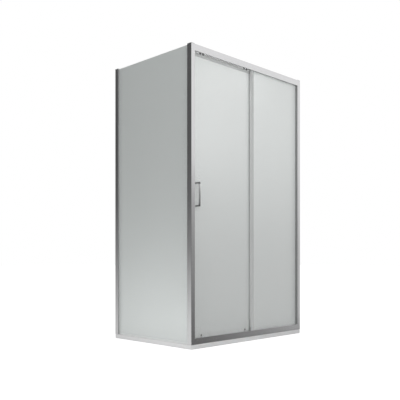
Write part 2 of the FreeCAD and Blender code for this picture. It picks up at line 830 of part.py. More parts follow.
def end_cap(outline, plug):
    """A moulded cap on top of a post, with a plug that grips the hollow below."""
    cap = bar_z(outline, frame_top, cap_top)
    rim = [edge for edge in cap.Edges if edge.BoundBox.ZMin > cap_top - LINE_TOLERANCE]
    cap = cap.makeFillet(CAP_ROUND, rim)
    return cap.fuse(bar_z(plug, frame_top - CAP_PLUG, frame_top)).removeSplitter()


def corner_post_cap():
    """Cap over the corner post and the side panel's front profile."""
    outline = [
        (left, front),
        (jamb, front),
        (jamb, rail_back),
        (jamb - WING_RETURN, rail_back),
        (jamb - WING_RETURN, side_front_face),
        (left, side_front_face),
    ]
    inset = WALL + SNUG
    plug = rectangle(left + inset, jamb - inset, front + inset, front + CORNER_DEPTH - inset)
    return end_cap(outline, plug)


def right_post_cap():
    """Cap over the right post and its wall channel."""
    outline = rectangle(post_inner, right, front, rail_back)
    low_y = pocket_rear_wall + SNUG
    high_x = post_inner + POCKET_DEPTH - SNUG
    plug = rectangle(post_inner + WALL + SNUG, high_x, low_y, rail_inside_back - SNUG)
    return end_cap(outline, plug)


def side_rear_cap():
    """Cap over the side panel's rear profile and its wall channel."""
    outline = rectangle(left, side_frame_right, rear_inner, back)
    high_x = side_pocket_left - WALL - SNUG
    high_y = rear_inner + POCKET_DEPTH - SNUG
    plug = rectangle(left + WALL + SNUG, high_x, rear_inner + WALL + SNUG, high_y)
    return end_cap(outline, plug)


# Fixed glass
def fixed_glass():
    """Fixed front pane."""
    return block(fixed_left, fixed_right, fixed_front, fixed_back, fixed_bottom, fixed_top)


def side_glass():
    """Fixed side pane, with an open top edge."""
    high_y = rear_inner + GLASS_BITE
    low_z = tray_top + SIDE_SEAL_HEIGHT
    return block(side_glass_left, side_glass_right, side_glass_front, high_y, low_z, frame_top)


def gasket_strip(depth):
    """Gasket section beside a pane: (across, into the pocket) points from the pane's face outwards."""
    return [
        (0, -GASKET_LIP),
        (GASKET - SNUG, -GASKET_LIP / 2),
        (GASKET - SNUG, depth),
        (0, depth),
    ]


def post_cover(low_z):
    """Flap of the front gasket that covers the flank of the post beside the fixed glass."""
    tip = front + COVER_MARGIN
    outline = [
        (post_inner - GASKET_LIP, fixed_front),
        (post_inner - COVER_TIP, tip),
        (post_inner - SNUG, tip),
        (post_inner - SNUG, fixed_front),
    ]
    return bar_z(outline, low_z, lip_level - SLIP)


def fixed_glass_gaskets():
    """Strips on both faces of the fixed glass in the post, the head rail and the sill."""
    strip = gasket_strip(GLASS_BITE - SNUG)
    low_z = sill_top + GASKET_LIP
    high_z = rail_pocket_mouth - GASKET_LIP
    sill_lip = sill_top - SILL_LIP_DROP
    high_x = post_inner - GASKET_LIP - SNUG
    solids = []
    for face, side in ((fixed_front, -1), (fixed_back, 1)):
        upright = [(post_inner + into, face + side * across) for across, into in strip]
        head = [(face + side * across, rail_pocket_mouth + into) for across, into in strip]
        sill = [(face + side * across, sill_lip - into) for across, into in strip]
        solids.append(bar_z(upright, low_z, high_z))
        solids.append(bar_x(head, interlock_right + SNUG, high_x))
        solids.append(bar_x(sill, interlock_right + SNUG, high_x))
    solids[0] = solids[0].fuse(post_cover(low_z)).removeSplitter()
    return group(solids)


def side_glass_gaskets():
    """Strips on both faces of the side glass in its front and rear profiles."""
    front_strip = gasket_strip(side_front_face - side_glass_front)
    rear_strip = gasket_strip(GLASS_BITE)
    solids = []
    for face, side in ((side_glass_left, -1), (side_glass_right, 1)):
        for strip, seat, inward in ((front_strip, side_front_face, -1), (rear_strip, rear_inner, 1)):
            outline = [(face + side * across, seat + inward * into) for across, into in strip]
            solids.append(bar_z(outline, tray_top + SIDE_SEAL_HEIGHT, frame_top))
    return group(solids)


def side_bottom_seal():
    """Channel seal between the side glass and the tray."""
    low_x = side_glass_left - SIDE_SEAL_WALL
    high_x = side_glass_right + SIDE_SEAL_WALL
    top = tray_top + SIDE_SEAL_HEIGHT + SIDE_SEAL_LEG
    outline = [
        (low_x, tray_top),
        (high_x, tray_top),
        (high_x, top),
        (side_glass_right, top),
        (side_glass_right, tray_top + SIDE_SEAL_HEIGHT),
        (side_glass_left, tray_top + SIDE_SEAL_HEIGHT),
        (side_glass_left, top),
        (low_x, top),
    ]
    clear = GASKET_LIP + SLIP
    return bar_y(outline, side_front_face + clear, rear_inner - clear)


def setting_blocks():
    """Blocks that carry the fixed glass in the sill pocket."""
    starts = (fixed_left + SETTING_BLOCK_INSET, post_inner - SETTING_BLOCK_INSET - SETTING_BLOCK_LENGTH)
    solids = []
    for start in starts:
        end = start + SETTING_BLOCK_LENGTH
        solids.append(block(start, end, fixed_front, fixed_back, sill_pocket_floor, fixed_bottom))
    return group(solids)


# Interlock stile of the fixed glass
def interlock_profile():
    """Hollow stile on the free edge of the fixed glass, in front of the door's trailing edge."""
    glazing_back = interlock_back - WALL
    outline = [
        (interlock_left, interlock_front),
        (interlock_right, interlock_front),
        (interlock_right, pocket_front),
        (interlock_floor, pocket_front),
        (interlock_floor, glazing_back),
        (interlock_right, glazing_back),
        (interlock_right, interlock_back),
        (interlock_left, interlock_back),
    ]
    chamber = rectangle(
        interlock_left + WALL, interlock_floor - WALL, interlock_front + WALL, interlock_back - WALL
    )
    profile = bar_z(outline, interlock_foot_top, interlock_top, (chamber,))
    corners = [Vector(x, interlock_front, sill_top) for x in (interlock_left, interlock_right)]
    return soften(profile, EDGE_ROUND, corners, Z_AXIS)


def interlock_gasket():
    """Channel gasket round the glass inside the stile."""
    low_x = interlock_floor + SNUG
    low_y = pocket_front + SNUG
    high_y = interlock_back - WALL - SNUG
    high_x = interlock_right
    outline = [
        (low_x, low_y),
        (high_x, low_y),
        (high_x, fixed_front),
        (fixed_left, fixed_front),
        (fixed_left, fixed_back),
        (high_x, fixed_back),
        (high_x, high_y),
        (low_x, high_y),
    ]
    return bar_z(outline, interlock_foot_top, interlock_top)


def interlock_foot():
    """Moulded foot that closes the stile and clamps the glass on the sill."""
    outline = [
        (interlock_left + FOOT_PROUD, interlock_front + FOOT_PROUD),
        (interlock_right, interlock_front + FOOT_PROUD),
        (interlock_right, fixed_front - SNUG),
        (fixed_left - SNUG, fixed_front - SNUG),
        (fixed_left - SNUG, fixed_back + SNUG),
        (interlock_right, fixed_back + SNUG),
        (interlock_right, interlock_back - SNUG),
        (interlock_left + FOOT_PROUD, interlock_back - SNUG),
    ]
    foot = bar_z(outline, sill_top, interlock_foot_top)
    corner = Vector(interlock_left + FOOT_PROUD, interlock_front + FOOT_PROUD, sill_top)
    return soften(foot, EDGE_ROUND, [corner], Z_AXIS)


def interlock_fin_seal():
    """Fin on the back of the stile that wipes the door's face."""
    tip = door_front - SLIP
    middle = interlock_left + FIN_BASE
    outline = [
        (middle - FIN_BASE / 2, interlock_back),
        (middle + FIN_BASE / 2, interlock_back),
        (middle + FIN_THICKNESS / 2, interlock_back + FIN_THICKNESS),
        (middle + FIN_THICKNESS / 2, tip),
        (middle - FIN_THICKNESS / 2, tip),
        (middle - FIN_THICKNESS / 2, interlock_back + FIN_THICKNESS),
    ]
    return bar_z(outline, interlock_foot_top + FIN_CLEAR, hanger_bottom - FIN_CLEAR)


# Jamb seal
def jamb_magnet_seal():
    """Seal between the strike lips, with a hollow nose for its magnet."""
    half = STRIKE_WIDTH / 2 - WALL - SNUG
    nose = JAMB_SEAL_NOSE / 2
    lip = jamb + STRIKE_REACH
    outline = [
        (jamb, door_middle - half),
        (lip, door_middle - half),
        (jamb_seal_tip, door_middle - nose),
        (jamb_seal_tip, door_middle + nose),
        (lip, door_middle + half),
        (jamb, door_middle + half),
    ]
    return bar_z(outline, sill_top, hanger_bottom - SLIP, (magnet_slot(jamb_seal_tip, -1, 0),))


def magnet_slot(tip, side, clearance):
    """Outline of a magnet strip behind a seal's tip; side points from the tip into the seal."""
    near = tip + side * (SEAL_WALL + clearance)
    far = tip + side * (SEAL_WALL + MAGNET_THICKNESS - clearance)
    half = MAGNET_WIDTH / 2 - clearance
    return rectangle(min(near, far), max(near, far), door_middle - half, door_middle + half)


def jamb_magnet():
    """Magnet strip in the jamb seal."""
    return bar_z(magnet_slot(jamb_seal_tip, -1, SNUG), sill_top, hanger_bottom - SLIP)


def door_magnet():
    """Magnet strip in the door's seal."""
    return bar_z(magnet_slot(door_seal_tip, 1, SNUG), seal_bottom, hanger_bottom - SNUG)


# Door
def door_glass():
    """Sliding pane with holes for its handles and lower guides."""
    glass = block(door_left, door_right, door_front, door_back, door_bottom, door_top)
    holes = [Vector(handle_place, door_front, level) for level in handle_levels]
    holes += [Vector(place, door_front, guide_cap_level) for place in roller_places]
    for centre in holes:
        glass = glass.cut(rod(GLASS_HOLE_RADIUS, centre - Y_AXIS * OVERRUN, Y_AXIS, GLASS + OVERRUN * 2))
    return glass


def door_top_profile():
    """Hanger rail on the top edge of the door: glazing pocket below, hollow bolt rail above."""
    pocket_low = hanger_front + HANGER_WALL
    pocket_high = hanger_back - HANGER_WALL
    outline = [
        (hanger_front, hanger_bottom),
        (pocket_low, hanger_bottom),
        (pocket_low, hanger_roof),
        (pocket_high, hanger_roof),
        (pocket_high, hanger_bottom),
        (hanger_back, hanger_bottom),
        (hanger_back, hanger_top),
        (hanger_front, hanger_top),
    ]
    profile = bar_x(outline, door_left, door_right, (hanger_chamber(0),))
    profile = soften(profile, EDGE_ROUND, [Vector(door_left, hanger_front, hanger_bottom)], X_AXIS)
    for seat in carriage_bolt_seats():
        length = hanger_back - hanger_front + OVERRUN * 2
        profile = profile.cut(rod(CARRIAGE_BOLT_RADIUS + SNUG, seat - Y_AXIS * OVERRUN, Y_AXIS, length))
    return profile


def hanger_chamber(inset):
    """Outline of the hollow above the door's glazing pocket."""
    return rectangle(
        hanger_front + HANGER_WALL + inset,
        hanger_back - HANGER_WALL - inset,
        hanger_roof + HANGER_WALL + inset,
        hanger_top - HANGER_WALL - inset,
    )


def door_top_gasket():
    """Channel gasket between the door glass and the hanger rail."""
    low_y = hanger_front + HANGER_WALL
    high_y = hanger_back - HANGER_WALL
    outline = [
        (low_y, hanger_bottom),
        (door_front, hanger_bottom),
        (door_front, door_top),
        (door_back, door_top),
        (door_back, hanger_bottom),
        (high_y, hanger_bottom),
        (high_y, hanger_roof),
        (low_y, hanger_roof),
    ]
    return bar_x(outline, door_left, door_right)


def door_profile_end_caps():
    """Moulded caps in both ends of the hanger rail."""
    cover = rectangle(hanger_front, hanger_back, hanger_roof, hanger_top)
    solids = []
    for edge, side in ((door_left, 1), (door_right, -1)):
        cap = bar_x(cover, edge - side * HANGER_END_CAP, edge)
        plug = bar_x(hanger_chamber(SNUG), edge, edge + side * HANGER_END_PLUG)
        solids.append(cap.fuse(plug).removeSplitter())
    return group(solids)


def door_magnet_seal():
    """Seal clipped on the door's leading edge, with a hollow nose for its magnet."""
    nose = JAMB_SEAL_NOSE / 2
    low_y = door_front - SEAL_WALL
    high_y = door_back + SEAL_WALL
    root = door_left - SEAL_WALL
    leg = door_left + SEAL_LEG
    outline = [
        (door_seal_tip, door_middle - nose),
        (root, low_y),
        (leg, low_y),
        (leg, door_front),
        (door_left, door_front),
        (door_left, door_back),
        (leg, door_back),
        (leg, high_y),
        (root, high_y),
        (door_seal_tip, door_middle + nose),
    ]
    slot = magnet_slot(door_seal_tip, 1, 0)
    return bar_z(outline, seal_bottom, hanger_bottom - SNUG, (slot,))


def door_trailing_seal():
    """Seal clipped on the door's trailing edge, with a fin that runs along the fixed glass."""
    low_y = door_front - SEAL_WALL
    high_y = door_back + SEAL_WALL
    leg = door_right - SEAL_LEG
    end = door_right + SEAL_WALL
    fin = door_right - TRAIL_FIN_INSET
    tip = fixed_back + TRAIL_FIN_GAP
    outline = [
        (leg, low_y),
        (fin - FIN_THICKNESS, low_y),
        (fin - FIN_THICKNESS / 2, tip),
        (fin, tip),
        (fin + FIN_THICKNESS / 2, low_y),
        (end, low_y),
        (end, high_y),
        (leg, high_y),
        (leg, door_back),
        (door_right, door_back),
        (door_right, door_front),
        (leg, door_front),
    ]
    return bar_z(outline, seal_bottom + FIN_CLEAR, hanger_bottom - SNUG)


def door_bottom_seal():
    """Wiper clipped on the door's lower edge above the sloped drain."""
    low_y = door_front - SEAL_WALL
    high_y = door_back + SEAL_WALL
    leg = door_bottom + WIPER_LEG
    root = door_bottom - SEAL_WALL
    tip = door_bottom - WIPER_DROP
    outline = [
        (low_y, root),
        (door_middle - WIPER_BLADE, root),
        (door_middle, tip),
        (door_middle + WIPER_BLADE, tip),
        (door_middle + WIPER_BLADE, root),
        (high_y, root),
        (high_y, leg),
        (door_back, leg),
        (door_back, door_bottom),
        (door_front, door_bottom),
        (door_front, leg),
        (low_y, leg),
    ]
    return bar_x(outline, door_left, door_right)


# Handles
def pull_handle(seat, away):
    """A square-bar pull handle with a gentle bow; away points from the glass towards the hand."""
    reach = HANDLE_REACH - BUSH_FLANGE
    bar = HANDLE_BAR / 2
    low, high = handle_levels
    grip = reach - HANDLE_BAR

    def point(out, level):
        return Vector(handle_place - bar, seat + away * out, level)

    outer_foot = point(0, low - bar)
    outer_low = point(reach - HANDLE_BOW, low - bar)
    outer_high = point(reach - HANDLE_BOW, high + bar)
    outer_head = point(0, high + bar)
    inner_head = point(0, high - bar)
    inner_high = point(grip - HANDLE_BOW, high - bar)
    inner_low = point(grip - HANDLE_BOW, low + bar)
    inner_foot = point(0, low + bar)
    edges = [
        Part.makeLine(outer_foot, outer_low),
        Part.Arc(outer_low, point(reach, HANDLE_CENTRE_HEIGHT), outer_high).toShape(),
        Part.makeLine(outer_high, outer_head),
        Part.makeLine(outer_head, inner_head),
        Part.makeLine(inner_head, inner_high),
        Part.Arc(inner_high, point(grip, HANDLE_CENTRE_HEIGHT), inner_low).toShape(),
        Part.makeLine(inner_low, inner_foot),
        Part.makeLine(inner_foot, outer_foot),
    ]
    handle = Part.Face(Part.Wire(edges)).extrude(X_AXIS * HANDLE_BAR)
    handle = handle.makeFillet(HANDLE_ROUND, [edge for edge in handle.Edges if not on_seat(edge, seat)])
    for level in handle_levels:
        start = Vector(handle_place, seat - away * OVERRUN, level)
        hole = rod(HANDLE_BOLT_RADIUS + PIN_PLAY, start, Y_AXIS * away, OVERRUN + HANDLE_BOLT_BITE)
        handle = handle.cut(hole)
    return handle


def on_seat(edge, seat):
    """Whether an edge lies in the plane where a handle meets its bush."""
    box = edge.BoundBox
    return abs(box.YMin - seat) < LINE_TOLERANCE and abs(box.YMax - seat) < LINE_TOLERANCE


def outer_handle():
    """Handle outside the shower."""
    return pull_handle(door_front - BUSH_FLANGE, -1)


def inner_handle():
    """Handle inside the shower."""
    return pull_handle(door_back + BUSH_FLANGE, 1)


def handle_bushes():
    """Flanged bushes between the handles and the glass."""
    bore = HANDLE_BOLT_RADIUS + PIN_PLAY
    spigot = GLASS_HOLE_RADIUS - SNUG
    profile = [
        (bore, -BUSH_FLANGE),
        (BUSH_FLANGE_RADIUS, -BUSH_FLANGE),
        (BUSH_FLANGE_RADIUS, 0),
        (spigot, 0),
        (spigot, BUSH_SPIGOT),
        (bore, BUSH_SPIGOT),
    ]
    solids = []
    for level in handle_levels:
        solids.append(turned(profile, Vector(handle_place, door_front, level), Y_AXIS))
        solids.append(turned(profile, Vector(handle_place, door_back, level), -Y_AXIS))
    return group(solids)


def handle_bolts():
    """Studs through the glass that join the two handles."""
    reach = BUSH_FLANGE + HANDLE_BOLT_BITE - SNUG
    length = GLASS + reach * 2
    return group(
        rod(HANDLE_BOLT_RADIUS, Vector(handle_place, door_front - reach, level), Y_AXIS, length)
        for level in handle_levels
    )


# Roller carriages
def carriage_bolt_seats():
    """Places on the hanger's front where the carriage bolts enter."""
    return [
        Vector(place + side * CARRIAGE_BOLT_SPREAD, hanger_front, carriage_bolt_level)
        for place in roller_places
        for side in (-1, 1)
    ]


def roller_carriage(place):
    """A pressed plate behind the hanger with two axle holes and a foot under the track ledge."""
    half = CARRIAGE_LENGTH / 2
    low_z = rail_bottom - CARRIAGE_DROP
    high_z = rail_bottom + CARRIAGE_LIFT
    plate = bar_y(rectangle(place - half, place + half, low_z, high_z), hanger_back, carriage_back)
    corners = [Vector(place + side * half, hanger_back, high_z) for side in (-1, 1)]
    plate = soften(plate, CARRIAGE_ROUND, corners, Y_AXIS)
    foot_top = ledge_bottom - ANTI_LIFT_GAP
    foot = block(
        place - ANTI_LIFT_WIDTH / 2,
        place + ANTI_LIFT_WIDTH / 2,
        carriage_back - CARRIAGE_PLATE,
        carriage_back + ANTI_LIFT_REACH,
        foot_top - ANTI_LIFT_THICKNESS,
        foot_top,
    )
    plate = plate.fuse(foot)
    for side in (-1, 1):
        axle = Vector(place + side * WHEEL_SPREAD, hanger_back - OVERRUN, wheel_level)
        plate = plate.cut(rod(AXLE_RADIUS + PIN_PLAY, axle, Y_AXIS, CARRIAGE_PLATE + OVERRUN * 2))
        bolt = Vector(place + side * CARRIAGE_BOLT_SPREAD, hanger_back - OVERRUN, carriage_bolt_level)
        plate = plate.cut(rod(CARRIAGE_BOLT_RADIUS + PIN_PLAY, bolt, Y_AXIS, CARRIAGE_PLATE + OVERRUN * 2))
    return plate.removeSplitter()


def carriage_bolts():
    """Bolts through the hanger rail into the carriages."""
    end = carriage_back - hanger_front
    profile = [
        (0, -CARRIAGE_BOLT_HEAD),
        (CARRIAGE_BOLT_HEAD_RADIUS * BOLT_CROWN_SHARE, -CARRIAGE_BOLT_HEAD),
        (CARRIAGE_BOLT_HEAD_RADIUS, -CARRIAGE_BOLT_HEAD / 2),
        (CARRIAGE_BOLT_HEAD_RADIUS, 0),
        (CARRIAGE_BOLT_RADIUS, 0),
        (CARRIAGE_BOLT_RADIUS, end),
        (0, end),
    ]
    bolts = []
    for seat in carriage_bolt_seats():
        corners = ring_points(SOCKET_RADIUS, HEXAGON)
        hexagon = Part.Face(Part.makePolygon(corners + corners[:1]))
        socket = hexagon.extrude(Z_AXIS * (SOCKET_DEPTH + OVERRUN))
        top = seat - Y_AXIS * (CARRIAGE_BOLT_HEAD + OVERRUN)
        bolts.append(turned(profile, seat, Y_AXIS).cut(stood(socket, top, Y_AXIS)))
    return group(bolts)


def wheel_places():
    """Axle centres of the four top wheels, from left to right."""
    return [place + side * WHEEL_SPREAD for place in roller_places for side in (-1, 1)]


def roller_axles():
    """Shouldered axles riveted through the carriages."""
    start = hanger_back + SNUG
    profile = [
        (0, start),
        (AXLE_RADIUS, start),
        (AXLE_RADIUS, carriage_back),
        (AXLE_SHOULDER_RADIUS, carriage_back),
        (AXLE_SHOULDER_RADIUS, wheel_front - SLIP),
        (AXLE_RADIUS, wheel_front - SLIP),
        (AXLE_RADIUS, wheel_back + SLIP),
        (AXLE_HEAD_RADIUS, wheel_back + SLIP),
        (AXLE_HEAD_RADIUS, wheel_back + SLIP + AXLE_HEAD),
        (0, wheel_back + SLIP + AXLE_HEAD),
    ]
    return group(turned(profile, Vector(place, 0, wheel_level), Y_AXIS) for place in wheel_places())


def grooved_wheel(centre, flange_radius, groove_radius, bore_radius):
    """A wheel turned about Y whose groove runs on a bead; its faces are dished between hub and rim."""
    groove_low = (WHEEL_WIDTH - WHEEL_GROOVE_WIDTH) / 2
    groove_high = (WHEEL_WIDTH + WHEEL_GROOVE_WIDTH) / 2
    hub = bore_radius + WHEEL_HUB_RADIUS - AXLE_RADIUS
    rim = groove_radius - WHEEL_GROOVE_RADIUS + WHEEL_RIM_RADIUS
    profile = [
        (bore_radius, 0),
        (hub, 0),
        (hub, WHEEL_DISH),
        (rim, WHEEL_DISH),
        (rim, 0),
        (flange_radius, 0),
        (flange_radius, WHEEL_RIM),
        (groove_radius, groove_low),
        (groove_radius, groove_high),
        (flange_radius, WHEEL_WIDTH - WHEEL_RIM),
        (flange_radius, WHEEL_WIDTH),
        (rim, WHEEL_WIDTH),
        (rim, WHEEL_WIDTH - WHEEL_DISH),
        (hub, WHEEL_WIDTH - WHEEL_DISH),
        (hub, WHEEL_WIDTH),
        (bore_radius, WHEEL_WIDTH),
    ]
    return turned(profile, centre, Y_AXIS)


def top_wheel(place):
    """One roller of a carriage."""
    centre = Vector(place, wheel_front, wheel_level)
    return grooved_wheel(centre, WHEEL_FLANGE_RADIUS, WHEEL_GROOVE_RADIUS, AXLE_RADIUS + PIN_PLAY)


def door_stops():
    """Stops clipped over the bead at both ends of the carriages' travel."""
    half = CARRIAGE_LENGTH / 2
    closed_end = roller_places[0] - half - STOP_GAP
    open_start = roller_places[1] + half + door_travel + STOP_GAP
    bead_half = BEAD_WIDTH / 2 + SNUG
    low_y = hanger_back + STOP_SIDE_GAP
    high_y = rail_inside_back - STOP_SIDE_GAP
    outline = [
        (low_y, ledge_top),
        (track_middle - bead_half, ledge_top),
        (track_middle - bead_half, bead_top + SNUG),
        (track_middle + bead_half, bead_top + SNUG),
        (track_middle + bead_half, ledge_top),
        (high_y, ledge_top),
        (high_y, ledge_top + STOP_HEIGHT),
        (low_y, ledge_top + STOP_HEIGHT),
    ]
    starts = (closed_end - STOP_LENGTH, open_start)
    return group(bar_x(outline, start, start + STOP_LENGTH) for start in starts)


# Lower guides
def guide_housing(place):
    """A moulded base on the inner face of the door with a barrel for the release plunger."""
    half = GUIDE_BASE_WIDTH / 2
    low_z = tray_top + GUIDE_BASE_LOW
    base = block(place - half, place + half, guide_base_front, guide_base_back, low_z, barrel_top)
    corners = [
        Vector(place + side * half, guide_base_front, level)
        for side in (-1, 1)
        for level in (low_z, barrel_top)
    ]
    base = soften(base, GUIDE_BASE_ROUND, corners, Y_AXIS)
    low_x = place - BARREL_WIDTH / 2
    high_x = place + BARREL_WIDTH / 2
    barrel = block(low_x, high_x, guide_base_front, barrel_back, barrel_low, barrel_top)
    edges = [Vector(x, barrel_back, barrel_low) for x in (low_x, high_x)]
    barrel = soften(barrel, BARREL_ROUND, edges, Z_AXIS)
    housing = base.fuse(barrel)
    bore = Vector(place, track_middle, barrel_low - OVERRUN)
    housing = housing.cut(rod(PISTON_RADIUS + PIN_PLAY, bore, Z_AXIS, barrel_roof - bore.z))
    housing = housing.cut(rod(ROD_RADIUS + PIN_PLAY, bore, Z_AXIS, barrel_top - bore.z + OVERRUN))
    bolt = Vector(place, guide_base_front - OVERRUN, guide_cap_level)
    bolt_length = GUIDE_BASE_THICKNESS + OVERRUN * 2
    housing = housing.cut(rod(GUIDE_BOLT_RADIUS + PIN_PLAY, bolt, Y_AXIS, bolt_length))
    pad = turned(
        [
            (GUIDE_BOLT_RADIUS + PIN_PLAY, 0),
            (GUIDE_CAP_RADIUS, 0),
            (GUIDE_CAP_RADIUS, GUIDE_PAD),
            (GUIDE_BOLT_RADIUS + PIN_PLAY, GUIDE_PAD),
        ],
        Vector(place, door_back, guide_cap_level),
        Y_AXIS,
    )
    return housing.fuse(pad).removeSplitter()


def guide_caps():
    """Domed caps outside the door whose bolts hold the guide housings."""
    end = guide_base_back - door_front
    profile = [
        (0, -GUIDE_CAP_THICKNESS),
        (GUIDE_CAP_RADIUS - GUIDE_CAP_THICKNESS, -GUIDE_CAP_THICKNESS),
        (GUIDE_CAP_RADIUS, -GUIDE_CAP_DOME),
        (GUIDE_CAP_RADIUS, 0),
        (GUIDE_BOLT_RADIUS, 0),
        (GUIDE_BOLT_RADIUS, end),
        (0, end),
    ]
    seats = [Vector(place, door_front, guide_cap_level) for place in roller_places]
    return group(turned(profile, seat, Y_AXIS) for seat in seats)


def guide_plunger(place):
    """Release plunger: a fork plate with the wheel's axle, a piston, a rod and a pull knob."""
    half = FORK_WIDTH / 2
    bridge_low = piston_low - BRIDGE_THICKNESS
    fork_low = guide_level - FORK_DROP
    side_view = [
        (fork_front, fork_low),
        (fork_back, fork_low),
        (fork_back, bridge_low),
        (track_middle + PISTON_RADIUS, bridge_low),
        (track_middle + PISTON_RADIUS, piston_low),
        (fork_front, piston_low),
    ]
    plunger = bar_x(side_view, place - half, place + half)
    corners = [Vector(place + side * half, fork_front, fork_low) for side in (-1, 1)]
    plunger = soften(plunger, FORK_DROP / 2, corners, Y_AXIS)
    knob_low = barrel_top + SLIP
    knob_high = knob_low + KNOB_HEIGHT
    stem = turned(
        [
            (0, piston_low - BRIDGE_THICKNESS / 2),
            (PISTON_RADIUS, piston_low - BRIDGE_THICKNESS / 2),
            (PISTON_RADIUS, piston_top),
            (ROD_RADIUS, piston_top),
            (ROD_RADIUS, knob_low),
            (KNOB_RADIUS, knob_low),
            (KNOB_RADIUS, knob_high - KNOB_ROUND),
            (KNOB_RADIUS - KNOB_ROUND, knob_high),
            (0, knob_high),
        ],
        Vector(place, track_middle, 0),
        Z_AXIS,
    )
    axle = turned(
        [
            (0, fork_back - FORK_THICKNESS / 2),
            (GUIDE_AXLE_RADIUS, fork_back - FORK_THICKNESS / 2),
            (GUIDE_AXLE_RADIUS, wheel_back + SLIP),
            (GUIDE_AXLE_HEAD_RADIUS, wheel_back + SLIP),
            (GUIDE_AXLE_HEAD_RADIUS, wheel_back + SLIP + AXLE_HEAD),
            (0, wheel_back + SLIP + AXLE_HEAD),
        ],
        Vector(place, 0, guide_level),
        Y_AXIS,
    )
    for point in ring_points(KNOB_RADIUS, KNOB_FLUTES):
        start = Vector(place, track_middle, knob_low - SLIP / 2) + point
        stem = stem.cut(rod(FLUTE_RADIUS, start, Z_AXIS, KNOB_HEIGHT + OVERRUN))
    return plunger.fuse(stem).fuse(axle).removeSplitter()


def guide_wheel(place):
    """Grooved wheel of a lower guide, on the sill's track."""
    centre = Vector(place, wheel_front, guide_level)
    return grooved_wheel(centre, GUIDE_FLANGE_RADIUS, GUIDE_GROOVE_RADIUS, GUIDE_AXLE_RADIUS + PIN_PLAY)


def guide_spring(place):
    """Coil spring round the rod, between the piston and the barrel's roof."""
    low = piston_top + SPRING_WIRE_RADIUS + SLIP
    high = barrel_roof - SPRING_WIRE_RADIUS - SLIP
    pitch = (high - low) / SPRING_TURNS
    print("spring: least gap between turns", round(pitch - SPRING_WIRE_RADIUS * 2, 2), "mm")
    helix = Part.makeHelix(pitch, high - low, SPRING_RADIUS)
    section = Part.Wire(Part.makeCircle(SPRING_WIRE_RADIUS, Vector(SPRING_RADIUS, 0, 0), Y_AXIS))
    spring = Part.Wire(helix).makePipeShell([section], True, True)
    spring.translate(Vector(place, track_middle, low))
    return spring


# All pieces by name
pieces = {
    "shower_tray": shower_tray(),
    "bottom_rail": bottom_rail(),
    "top_rail": top_rail(),
    "corner_post": corner_post(),
    "right_post": right_post(),
    "right_wall_channel": right_wall_channel(),
    "side_front_profile": side_front_profile(),
    "side_rear_profile": side_rear_profile(),
    "back_wall_channel": back_wall_channel(),
    "corner_post_cap": corner_post_cap(),
    "right_post_cap": right_post_cap(),
    "side_rear_cap": side_rear_cap(),
    "fixed_glass": fixed_glass(),
    "side_glass": side_glass(),
    "fixed_glass_gaskets": fixed_glass_gaskets(),
    "side_glass_gaskets": side_glass_gaskets(),
    "side_bottom_seal": side_bottom_seal(),
    "setting_blocks": setting_blocks(),
    "interlock_profile": interlock_profile(),
    "interlock_gasket": interlock_gasket(),
    "interlock_foot": interlock_foot(),
    "interlock_fin_seal": interlock_fin_seal(),
    "jamb_magnet_seal": jamb_magnet_seal(),
    "jamb_magnet": jamb_magnet(),
    "rail_end_blocks": rail_end_blocks(),
    "rail_screws": rail_screws(),
    "corner_joint_screws": short_screws(corner_screw_seats(), -X_AXIS),
    "right_post_screws": short_screws(right_screw_seats(), -Y_AXIS),
    "side_rear_screws": short_screws(rear_screw_seats(), -X_AXIS),
    "door_stops": door_stops(),
    "door_glass": door_glass(),
    "door_top_profile": door_top_profile(),
    "door_top_gasket": door_top_gasket(),
    "door_profile_end_caps": door_profile_end_caps(),
    "door_magnet_seal": door_magnet_seal(),
    "door_magnet": door_magnet(),
    "door_trailing_seal": door_trailing_seal(),
    "door_bottom_seal": door_bottom_seal(),
    "outer_handle": outer_handle(),
    "inner_handle": inner_handle(),
    "handle_bushes": handle_bushes(),
    "handle_bolts": handle_bolts(),
    "carriage_bolts": carriage_bolts(),
    "roller_axles": roller_axles(),
    "guide_caps": guide_caps(),
}
for side, place in zip(("left", "right"), roller_places):
    pieces[side + "_roller_carriage"] = roller_carriage(place)
    pieces[side + "_guide_housing"] = guide_housing(place)
    pieces[side + "_guide_plunger"] = guide_plunger(place)
    pieces[side + "_guide_wheel"] = guide_wheel(place)
    pieces[side + "_guide_spring"] = guide_spring(place)
for number, place in enumerate(wheel_places(), start=1):
    pieces["top_wheel_" + str(number)] = top_wheel(place)

os.makedirs("parts", exist_ok=True)
for name, shape in pieces.items():
    shape.exportStep("parts/" + name + ".step")
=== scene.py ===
"""Looks of the corner shower enclosure: materials, release springs, studio and camera.

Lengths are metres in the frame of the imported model, and lamp powers are watts.
"""
import json
import math

